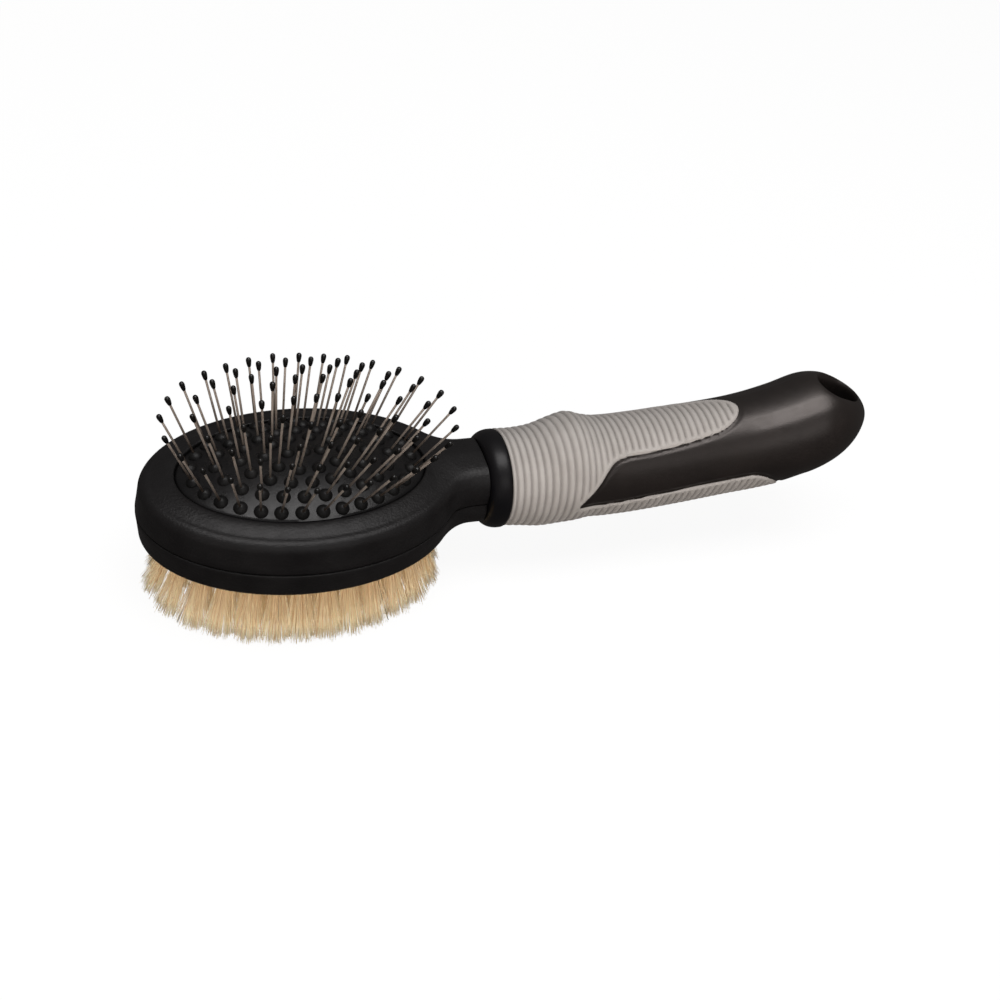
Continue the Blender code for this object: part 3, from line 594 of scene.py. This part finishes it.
def pins_and_cushion():
    """Wires and tips ride on their ring's body; the cushion and its bosses ride on the brush's body, each
    with a mesh of its own.
    """
    all_bosses = []
    for number, row in enumerate(pin_rows(), 1):
        wires, tips, bosses = zip(*[pin(spot) for spot in row])
        all_bosses += bosses
        body = f"pins_{number}"
        new_object(f"pin_wires_{number}", *gather(wires), PIN_STEEL, body, "pin_steel",
                   (f"pin_ring_{number}",))
        new_object(f"pin_tips_{number}", *gather(tips), TIP_BLACK, body, "pin_steel", crease=60)
    # The dome's skirt from under the lip, (inset, height over the rim), then the dome itself
    skirt = ((0.2, LIP_Z - 2.2 - DOME_RIM_Z), (0.2, -0.9), (0.25, -0.35), (0.5, 0.05))
    loops = [ellipse_loop(DOME_A - inset, DOME_B - inset, DOME_RIM_Z + rise, 120) for inset, rise in skirt]
    for share in np.linspace(0.975, 0.02, 34):
        a, b = DOME_A * share, DOME_B * share
        loops.append(ellipse_loop(a, b, dome_z(a, 0.0), 120))
    dome = new_object("cushion_dome", *loft(loops), CUSHION_RUBBER, "brush_body", "cushion_rubber",
                      ("pin_cushion",), crease=50)
    bumps = new_object("cushion_bosses", *gather(all_bosses), BOSS_RUBBER, "brush_body", "cushion_rubber",
                       crease=60)
    for soft in (dome, bumps):
        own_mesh(soft)


# Bristles

def tuft_rows():
    """Each tuft's root, the way it leans and how far its tips stand out: four ovals and a middle row."""
    rows = []
    for a, b, count, out in TUFT_ROWS:
        rows.append([(spot, normal, out) for spot, normal in spaced_on_oval(a, b, count)])
    places = [CENTRE_TUFT_PITCH * (i - (CENTRE_TUFTS - 1) / 2) for i in range(CENTRE_TUFTS)]
    rows.append([(np.array((x, 0.0)), np.array((0.0, -1.0)), 0.0) for x in places])
    return rows


FIBRES_PER_TUFT = 300
FIBRE_POINTS = 6
FIBRE_FAN, FIBRE_R = 4.7, 0.066
GUARD_SHARE, GUARD_FAN, GUARD_R = 0.55, 3.5, 0.13
ROOT_R, FAN_ACROSS, TUFT_CROWN = 1.3, 2.2, 1.5


def fibres(root, normal, out, count, fan_along, width, length):
    """Points and faces of one tuft's fibres: three-sided, curving out from a packed root to a fanned tip."""
    angle = rng.uniform(0, math.tau, count)
    radius = np.sqrt(rng.uniform(0, 1, count))
    across, along = np.cos(angle) * radius, np.sin(angle) * radius
    tangent = np.array((-normal[1], normal[0]))
    start = root + ROOT_R * (across[:, None] * normal + along[:, None] * tangent)
    fan = across[:, None] * normal * FAN_ACROSS + along[:, None] * tangent * fan_along
    tip_xy = root + normal * out + fan + rng.normal(0, 0.55, (count, 2))
    sideways = np.linalg.norm(tip_xy - start, axis=1)
    size = length - TUFT_CROWN * along ** 2 + rng.normal(0, 0.3, count) - rng.exponential(0.3, count)
    drop = np.sqrt(np.maximum(size ** 2 - sideways ** 2, 100.0))
    tip_z = np.maximum(BLOCK_FACE_Z - drop, 0.02)
    foot = np.column_stack([start, np.full(count, BLOCK_FACE_Z + 1.0)])
    tip = np.column_stack([tip_xy, tip_z])
    bend = 0.36 + rng.normal(0, 0.05, count)[:, None]
    knee = np.column_stack([start + (tip_xy - start) * bend, (foot[:, 2] + tip[:, 2]) / 2])
    t = np.linspace(0, 1, FIBRE_POINTS)[None, :, None]
    path = (1 - t) ** 2 * foot[:, None] + 2 * t * (1 - t) * knee[:, None] + t ** 2 * tip[:, None]
    path = path + rng.normal(0, 0.12, (count, 1, 3)) * np.sin(t * math.pi * 1.5)
    thick = width * (1 + rng.normal(0, 0.12, count))[:, None] * np.linspace(1.0, 0.7, FIBRE_POINTS)[None]
    turn = rng.uniform(0, math.tau, count)
    corners = []
    for k in range(3):
        corner = turn + k * math.tau / 3
        way = np.column_stack([np.cos(corner), np.sin(corner), np.zeros(count)])
        corners.append(path + way[:, None] * thick[:, :, None])
    points = np.stack(corners, 2)
    points[:, :, :, 2] = np.maximum(points[:, :, :, 2], 0.0)
    faces = []
    for i in range(count):
        base = i * FIBRE_POINTS * 3
        for j in range(FIBRE_POINTS - 1):
            low, high = base + j * 3, base + (j + 1) * 3
            faces += [(low, high, high + 1, low + 1), (low + 1, high + 1, high + 2, low + 2),
                      (low + 2, high + 2, high, low)]
        top = base + (FIBRE_POINTS - 1) * 3
        faces.append((top, top + 2, top + 1))
        faces.append((base, base + 1, base + 2))
    return points.reshape(-1, 3), faces


def bristles():
    """One piece for each ring of tufts, denser in the two outer rings, and the odd dark hair among them."""
    guard = []
    for number, row in enumerate(tuft_rows(), 1):
        outer = number < 3
        count = FIBRES_PER_TUFT if outer else FIBRES_PER_TUFT // 3
        tufts = []
        for root, normal, out in row:
            length = BLOCK_FACE_Z + 1.5 + rng.uniform(0.0, 0.5)
            tufts.append(fibres(root, normal, out * 1.1, count, FIBRE_FAN, FIBRE_R, length))
            if outer and rng.uniform() < GUARD_SHARE:
                guard.append(fibres(root, normal, out * 1.3, 1, GUARD_FAN, GUARD_R, length + 1.0))
        new_object(f"bristle_row_{number}", *gather(tufts), BRISTLE, "brush_body", "bristle",
                   (f"tuft_ring_{number}",), sharp=False)
    new_object("guard_hairs", *gather(guard), GUARD_HAIR, "brush_body", "bristle", sharp=False)


def bristle_base():
    """The block's face, which the tufts stand in, with a rounded edge."""
    a, b = BLOCK_A - 0.4, BLOCK_B - 0.4
    outline = ((2, 1.2, 0), (a * 0.5, b * 0.5, 0), (a - 0.7, b - 0.7, 0), (a - 0.2, b - 0.2, 0.2),
               (a, b, 0.7), (a, b, 2.0), (a - 4, b - 4, 2.0))
    loops = [ellipse_loop(half_x, half_y, BLOCK_FACE_Z + rise, 120) for half_x, half_y, rise in outline]
    new_object("bristle_base", *loft(loops), INNER_PLASTIC, "brush_body", "inner_plastic", ("bristle_block",))


# Handle

def handle_size(x):
    """The middle's rise over the axis, half height and half width at each x, drawn in towards the end."""
    x = np.atleast_1d(np.asarray(x, float))
    places, values = HANDLE[:, 0], HANDLE[:, 1:]
    inside = np.clip(x, places[0], places[-1] - 1e-6)
    i = np.clip(np.searchsorted(places, inside, side="right") - 1, 0, len(places) - 2)
    before, after = np.maximum(i - 1, 0), np.minimum(i + 2, len(places) - 1)
    width = (places[i + 1] - places[i])[:, None]
    u = (inside - places[i])[:, None] / width
    slope_in = (values[i + 1] - values[before]) / (places[i + 1] - places[before])[:, None] * width
    slope_out = (values[after] - values[i]) / (places[after] - places[i])[:, None] * width
    sizes = ((2 * u ** 3 - 3 * u ** 2 + 1) * values[i] + (u ** 3 - 2 * u ** 2 + u) * slope_in
             + (3 * u ** 2 - 2 * u ** 3) * values[i + 1] + (u ** 3 - u ** 2) * slope_out)
    share = np.clip((x - ROUND_X) / (HANDLE_END - ROUND_X), 0, 1)
    sizes[:, 1:] *= ((1 - share ** 2) ** ROUND_POWER)[:, None]
    return sizes


def axis_z(x):
    """The handle's axis: level through the collar, then rising towards the end."""
    return AXIS_Z0 + np.maximum(0.0, x - COLLAR_X1) * AXIS_SLOPE


# The radius that turns an angle around the handle into millimetres
ARC_R = 15.3
# The rubber's edge on one side as (x, degrees above the side), from the top tongue's end to the bottom one's
GRIP_EDGE = (
    (132.4, 118), (132.7, 90), (131.2, 76), (128.3, 66.5), (124.6, 60.1), (119.5, 56.3), (114.5, 53.6),
    (107.6, 51.1), (100.5, 49.6), (94.6, 48.6), (90.3, 44), (87.6, 34), (84.1, 14), (79.4, -7),
    (80.6, -10.6), (86.0, -10.6), (101.4, -5.6), (117.1, -3.4), (129.6, -2.4), (136.2, -4), (141.2, -14),
    (146.2, -34), (149.3, -60), (150.3, -90), (149.9, -118))


def grip_edge():
    """The edge as a fine line of points in millimetres along and around the handle."""
    knots = np.array(GRIP_EDGE, float)
    knots[:, 1] = np.radians(knots[:, 1]) * ARC_R
    pitch = 0.4
    line = []
    for i in range(len(knots) - 1):
        a, b = knots[i], knots[i + 1]
        before, after = knots[max(i - 1, 0)], knots[min(i + 2, len(knots) - 1)]
        steps = max(4, int(np.linalg.norm(b - a) / pitch))
        for t in np.arange(steps) / steps:
            line.append(0.5 * ((2 * a) + (b - before) * t + (2 * before - 5 * a + 4 * b - after) * t ** 2
                               + (3 * a - before - 3 * b + after) * t ** 3))
    line.append(knots[-1])
    return np.array(line)


EDGE_LINE = grip_edge()


def rubber_depth(x, turn):
    """Signed distance in millimetres from the rubber's edge, above 0 where there is rubber."""
    folded = np.where(np.cos(turn) >= 0, turn, math.pi - turn)
    folded = (folded + math.pi) % math.tau - math.pi
    point = np.stack([x.ravel(), folded.ravel() * ARC_R], 1)
    best = np.full(len(point), np.inf)
    crossings = np.zeros(len(point), int)
    for a, b in zip(EDGE_LINE, EDGE_LINE[1:]):
        along = b - a
        t = np.clip(((point - a) @ along) / (along @ along), 0, 1)
        best = np.minimum(best, np.linalg.norm(point - (a + t[:, None] * along), axis=1))
        if along[1]:
            spans = (a[1] > point[:, 1]) != (b[1] > point[:, 1])
            cross = a[0] + (point[:, 1] - a[1]) * along[0] / along[1]
            crossings += spans & (cross < point[:, 0])
    inside = crossings % 2 == 0
    return np.where(inside, best, -best).reshape(x.shape)


def handle_surface(x, turn, radial):
    """Points of the handle's outer form moved outwards by radial."""
    sizes = handle_size(x.ravel()).reshape(*x.shape, 3)
    y = (sizes[..., 2] + radial) * np.cos(turn)
    z = axis_z(x) + sizes[..., 0] + (sizes[..., 1] + radial) * np.sin(turn)
    return np.stack([x, y, z], -1)


RIB_PITCH, RIB_START, RIB_DEPTH, RIB_WIDTH = 2.13, 59.8, 0.55, 0.42
GRIP_ROUND, GRIP_DROP = 0.7, 0.6
GRIP_COLUMNS_END = 151.2


def grip_radial(x, turn, depth):
    """The rubber's relief: grooves across the handle, a smooth border and a rounded edge."""
    phase = (x - RIB_START) / RIB_PITCH
    off = (phase - np.round(phase)) * RIB_PITCH
    groove = np.exp(-(off / RIB_WIDTH) ** 2)
    fade = smoothstep(1.25, 1.75, depth) * smoothstep(GRIP_X0 + 0.4, GRIP_X0 + 0.9, x)
    radial = -RIB_DEPTH * groove * fade
    edge = np.clip(1 - depth / GRIP_ROUND, 0, 1)
    radial = radial - GRIP_DROP * (1 - np.sqrt(1 - edge ** 2))
    front = np.clip(1 - (x - GRIP_X0) / 0.5, 0, 1)
    return radial - 0.4 * (1 - np.sqrt(1 - front ** 2))


def snap_to_edge(x, turn, depth):
    """Moves the grid's points beside the rubber's edge along their grid line onto it, and marks them."""
    none = 9.0
    best = np.full(x.shape, 0.5001)
    new_x, new_turn, snapped = x.copy(), turn.copy(), np.zeros(x.shape, bool)
    pitches = (x[1, 0] - x[0, 0], turn[0, 1] - turn[0, 0])
    for axis, pitch in enumerate(pitches):
        other = np.roll(depth, -1, axis)
        crossing = (depth > 0) != (other > 0)
        if axis == 0:
            crossing[-1] = False
        total = np.maximum(np.abs(depth) + np.abs(other), 1e-9)
        share = np.where(crossing, np.abs(depth) / total, none)
        back = np.where(np.roll(crossing, 1, axis), 1 - np.roll(share, 1, axis), none)
        for sign, amount in ((1, share), (-1, back)):
            take = amount < best
            best = np.where(take, amount, best)
            snapped |= take
            step = sign * amount * pitch
            new_x = np.where(take, x + (step if axis == 0 else 0), new_x)
            new_turn = np.where(take, turn + (step if axis == 1 else 0), new_turn)
    return new_x, new_turn, snapped


def grip_faces(state, depth):
    """Faces inside the edge; state is 1 on rubber, 0 on its edge and -1 outside."""
    rows, count = state.shape
    faces = []
    for i in range(rows - 1):
        for j in range(count):
            k = (j + 1) % count
            kept = [c for c in ((i, j), (i + 1, j), (i + 1, k), (i, k)) if state[c] >= 0]
            touches = max((state[c] for c in kept), default=0) > 0
            if touches and len(kept) >= 3 or len(kept) == 4 and depth[i, j] > 0:
                faces.append(tuple(a * count + b for a, b in kept))
    return faces


def grip_sleeve():
    """The rubber's outer skin, cut out along its edge and thickened inwards."""
    xs = np.arange(GRIP_X0, GRIP_COLUMNS_END, RIB_PITCH / 9)
    count = 150
    turns = (np.arange(count) + 0.5) * math.tau / count
    x, turn = np.meshgrid(xs, turns, indexing="ij")
    depth = rubber_depth(x, turn)
    new_x, new_turn, snapped = snap_to_edge(x, turn, depth)
    state = np.where(snapped, 0, np.where(depth > 0, 1, -1))
    depth = np.where(snapped, 0.0, rubber_depth(new_x, new_turn))
    outer = handle_surface(new_x, new_turn, grip_radial(new_x, new_turn, np.maximum(depth, 0)))
    made = new_object("grip_sleeve_rubber", outer.reshape(-1, 3), grip_faces(state, depth), GRIP_RUBBER,
                      "brush_body", "grip_rubber", ("grip_sleeve",))
    bm = bmesh.new()
    bm.from_mesh(made.data)
    loose = [v for v in bm.verts if not v.link_faces]
    bmesh.ops.delete(bm, geom=loose, context="VERTS")
    bmesh.ops.recalc_face_normals(bm, faces=bm.faces)
    inside = Vector((GRIP_X0, 0, AXIS_Z0)) * MM
    if bm.faces[0].normal.dot(bm.faces[0].calc_center_median() - inside) < 0:
        bmesh.ops.reverse_faces(bm, faces=bm.faces)
    bm.to_mesh(made.data)
    bm.free()
    thick = made.modifiers.new("thickness", "SOLIDIFY")
    thick.thickness = 1.3 * MM
    thick.offset = -1
    apply_modifiers(made)
    finish_mesh(made, GRIP_RUBBER, 50)


def slant_z(x):
    """Height of the slanted plane that takes off the top of the handle's end."""
    rise, high, _ = handle_size(SLANT_X)[0]
    return axis_z(SLANT_X) + rise + high - (x - SLANT_X) * math.tan(SLANT_ANGLE)


def slanted(points):
    """Brings what rises above the slanted plane down to it, rounding the edge."""
    soft = 0.25
    plane = slant_z(points[..., 0])
    z = points[..., 2]
    mixed = -soft * np.logaddexp(-z / soft, -plane / soft)
    near = smoothstep(SLANT_X - 8, SLANT_X - 1, points[..., 0])
    points[..., 2] = z * (1 - near) + mixed * near
    return points


def handle_core():
    """The hard handle: sunk under the rubber, slanted off at the end, with the hang hole through it."""
    xs = np.concatenate([np.arange(GRIP_X0, 152, 0.5), np.arange(152, 170, 0.3),
                         HANDLE_END - 9.0 * (1 - np.sin(np.linspace(0, math.pi / 2, 44)[:-1]))])
    xs = np.append(xs, HANDLE_END - 0.001)
    count = 180
    turns = (np.arange(count) + 0.5) * math.tau / count
    x, turn = np.meshgrid(xs, turns, indexing="ij")
    depth = rubber_depth(x, turn)
    radial = -0.3 - 1.4 * smoothstep(0.15, 1.0, depth)
    # A shallow step and shadow line round the rubber, and a soft crease either side of the top
    radial -= 0.35 * np.exp(-((depth + 0.5) / 0.55) ** 2)
    top = np.degrees(np.abs(np.angle(np.exp(1j * (turn - math.pi / 2)))))
    band = smoothstep(26, 20, top) - smoothstep(40, 30, top)
    radial += 0.12 * band * smoothstep(131, 138, x) * smoothstep(163, 156, x)
    shrink = np.clip((HANDLE_END - x) / 4.0, 0, 1)
    points = slanted(handle_surface(x, turn, radial * shrink))
    made = new_object("handle_core_black", *loft(points), HANDLE_PLASTIC, "brush_body", "handle_plastic",
                      ("handle_core",))
    face_outwards(made)
    cut(made, *hang_hole())
    finish_mesh(made, HANDLE_PLASTIC, 40)


# The flare of the hole's mouth: how much wider at each depth under the slanted plane
HOLE_MOUTH = ((1.75, -5.0), (1.15, -0.2), (0.85, 0.2), (0.55, 0.6), (0.28, 1.2), (0.08, 2.0), (0.0, 3.0))


def hang_hole():
    """An upright slot whose mouth flares where it meets the slanted plane."""
    straight, count = (HOLE_LENGTH - HOLE_WIDTH) / 2, 96
    turn = (np.arange(count) + 0.5) * math.tau / count
    ends = np.where(np.cos(turn) > 0, straight, -straight)
    loops = []
    for grow, drop in (*HOLE_MOUTH, (0.0, None)):
        radius = HOLE_WIDTH / 2 + grow
        x, y = HOLE_X + (ends + np.cos(turn) * radius), np.sin(turn) * radius
        z = np.zeros(count) if drop is None else slant_z(x) - drop
        loops.append(np.column_stack([x, y, z]))
    return loft(loops)


COLLAR_ROUND_X, COLLAR_ROUND_R, COLLAR_BORE = 4.4, 3.0, TANG_R + 0.4


def collar():
    """A glossy ring whose front is a quarter of an ellipse."""
    front = []
    for step in range(17):
        angle = math.pi / 2 * step / 16
        front.append((COLLAR_X0 + COLLAR_ROUND_X * (1 - math.cos(angle)),
                      COLLAR_R - COLLAR_ROUND_R * (1 - math.sin(angle))))
    profile = [(COLLAR_X0 + 0.3, COLLAR_BORE), (COLLAR_X0 + 0.04, COLLAR_R - 3.5), *front,
               (COLLAR_X1 - 0.5, COLLAR_R), (COLLAR_X1 - 0.12, COLLAR_R - 0.12), (COLLAR_X1, COLLAR_R - 0.5),
               (COLLAR_X1, COLLAR_BORE)]
    count = 128
    turn = np.arange(count) * math.tau / count
    loops = [np.column_stack([np.full(count, x), r * np.cos(turn), AXIS_Z0 + r * np.sin(turn)])
             for x, r in profile]
    verts, faces = loft(loops, caps=False)
    last = (len(profile) - 1) * count
    faces += [(last + i, last + (i + 1) % count, (i + 1) % count, i) for i in range(count)]
    made = new_object("collar_gloss", verts, faces, COLLAR_PLASTIC, "brush_body", "collar_plastic",
                      ("collar",))
    face_outwards(made)


def carried_over():
    """CAD solids inside the brush that keep their own shape."""
    for name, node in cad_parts.items():
        if node.hide_render:
            continue
        steel = name.startswith("plate_screw") or name == "tang_pin"
        node.data.materials.clear()
        node.data.materials.append(FIXING_STEEL if steel else INNER_PLASTIC)


# Camera, light and floor

def camera():
    """The viewpoint: raised over the brush's side, a little round towards the nose, and rolled."""
    rise, round_, roll = math.radians(41.97), math.radians(-15.48), math.radians(-4.7)
    distance, lens_ratio = 406.8, 1.4399
    aim = np.array((-0.13862, 0.00139, 1.0))
    back = np.array((math.sin(round_) * math.cos(rise), -math.cos(round_) * math.cos(rise), math.sin(rise)))
    place = back * distance + np.array((0, 0, PARTING_Z))
    forward = -back
    right = np.cross(forward, (0, 0, 1))
    right /= np.linalg.norm(right)
    up = np.cross(right, forward)
    base = np.array((right, up, forward))
    turn = np.array(((math.cos(roll), -math.sin(roll), 0), (math.sin(roll), math.cos(roll), 0), (0, 0, 1)))
    aim /= np.linalg.norm(aim)
    axis = np.cross((0, 0, 1.0), aim)
    sine, cosine = np.linalg.norm(axis), aim[2]
    axis /= sine
    cross = np.array(((0, -axis[2], axis[1]), (axis[2], 0, -axis[0]), (-axis[1], axis[0], 0)))
    aside = np.eye(3) + sine * cross + (1 - cosine) * cross @ cross
    # The camera's own axes, turned so that the head's middle, which it points at, moves off centre to aim
    rows = aside @ turn @ base
    data = bpy.data.cameras.new("camera")
    data.sensor_width = 36.0
    data.lens = 36.0 * lens_ratio
    data.clip_start, data.clip_end = 0.01, 20.0
    made = bpy.data.objects.new("camera", data)
    bpy.context.scene.collection.objects.link(made)
    matrix = Matrix.Identity(4)
    for i in range(3):
        matrix[i][0], matrix[i][1], matrix[i][2] = rows[0][i], rows[1][i], -rows[2][i]
        matrix[i][3] = place[i] * MM
    made.matrix_world = matrix
    bpy.context.scene.camera = made


WARM = (1.0, 0.96, 0.92)


def area_light(name, place, target, size, power, colour=(1, 1, 1), mirrored=True):
    data = bpy.data.lights.new(name, "AREA")
    data.shape = "RECTANGLE"
    data.size, data.size_y = size
    data.energy = power
    data.color = colour
    made = bpy.data.objects.new(name, data)
    bpy.context.scene.collection.objects.link(made)
    made.location = place
    made.visible_glossy = mirrored
    made.rotation_euler = (Vector(target) - Vector(place)).to_track_quat("-Z", "Y").to_euler()


def lights():
    """Soft light from above and in front, and a dim sky that is brighter overhead."""
    target = (0.06, 0, 0.03)
    area_light("overhead", (0.05, -0.1, 0.85), target, (0.8, 0.4), 5.2)
    area_light("front_soft", (0.1, -1.3, 0.8), target, (1.2, 0.6), 2.2)
    area_light("front_left", (-0.5, -0.8, 0.12), target, (0.6, 0.5), 5.8, WARM, mirrored=False)
    area_light("front_right", (0.5, -0.8, 0.15), target, (0.5, 0.4), 2.6, WARM, mirrored=False)
    world = bpy.data.worlds.new("studio")
    bpy.context.scene.world = world
    world.use_nodes = True
    tree = world.node_tree
    place = add_node(tree, "ShaderNodeTexCoord")
    split = add_node(tree, "ShaderNodeSeparateXYZ")
    tree.links.new(place.outputs["Generated"], split.inputs["Vector"])
    sky = ramp(tree, spread(tree, split.outputs["Z"], 0, 1, -1, 1),
               ((0.0, (0.06, 0.057, 0.055)), (0.5, (0.085, 0.08, 0.078)), (0.85, (0.14, 0.137, 0.135)),
                (1.0, (0.4, 0.4, 0.4))))
    tree.links.new(sky, tree.nodes["Background"].inputs["Color"])
    tree.nodes["Background"].inputs["Strength"].default_value = 1.0


def emission_material(name, strength, diffuse):
    """White that gives off light of its own, with a little grey under it to catch shadows."""
    material, tree, shader = node_material(name)
    shader.inputs["Base Color"].default_value = (diffuse, diffuse, diffuse, 1)
    shader.inputs["Roughness"].default_value = 0.9
    shader.inputs["Specular IOR Level"].default_value = 0.0
    shader.inputs["Emission Color"].default_value = (1, 1, 1, 1)
    shader.inputs["Emission Strength"].default_value = strength
    return material


def stage():
    """A white floor, clear from below, and a white backdrop that only the camera sees."""
    mesh = bpy.data.meshes.new("floor")
    reach, sunk = 6.0, -0.0005
    corners = ((-reach, -reach, sunk), (reach, -reach, sunk), (reach, reach, sunk), (-reach, reach, sunk))
    mesh.from_pydata(corners, [], [(0, 1, 2, 3)])
    floor = bpy.data.objects.new("floor", mesh)
    bpy.context.scene.collection.objects.link(floor)
    material = emission_material("floor", 0.92, 0.1)
    tree = material.node_tree
    geometry = add_node(tree, "ShaderNodeNewGeometry")
    clear = add_node(tree, "ShaderNodeBsdfTransparent")
    mix = add_node(tree, "ShaderNodeMixShader")
    output = tree.nodes["Material Output"]
    tree.links.new(geometry.outputs["Backfacing"], mix.inputs[0])
    tree.links.new(tree.nodes["Principled BSDF"].outputs[0], mix.inputs[1])
    tree.links.new(clear.outputs[0], mix.inputs[2])
    tree.links.new(mix.outputs[0], output.inputs["Surface"])
    mesh.materials.append(material)
    floor.visible_glossy = False
    floor.visible_diffuse = False
    bm = bmesh.new()
    bmesh.ops.create_uvsphere(bm, u_segments=32, v_segments=16, radius=8.0)
    mesh = bpy.data.meshes.new("backdrop")
    bm.to_mesh(mesh)
    bm.free()
    backdrop = bpy.data.objects.new("backdrop", mesh)
    bpy.context.scene.collection.objects.link(backdrop)
    mesh.materials.append(emission_material("backdrop", 1.0, 0.0))
    for ray in ("visible_glossy", "visible_diffuse", "visible_transmission", "visible_shadow"):
        setattr(backdrop, ray, False)


head_shell("upper_head_shell", 1, UPPER_H, CROWN_H, UPPER_FILLET, NECK_UP, PAD_A, PAD_B,
           LIP_Z - PARTING_Z, ("upper_shell",))
head_shell("lower_head_shell", -1, LOWER_H, LOWER_H, LOWER_FILLET, NECK_DOWN, BLOCK_A, BLOCK_B,
           6.4, ("lower_shell",))
pins_and_cushion()
bristles()
bristle_base()
collar()
grip_sleeve()
handle_core()
carried_over()
camera()
lights()
stage()
bpy.context.scene.view_settings.view_transform = "Standard"
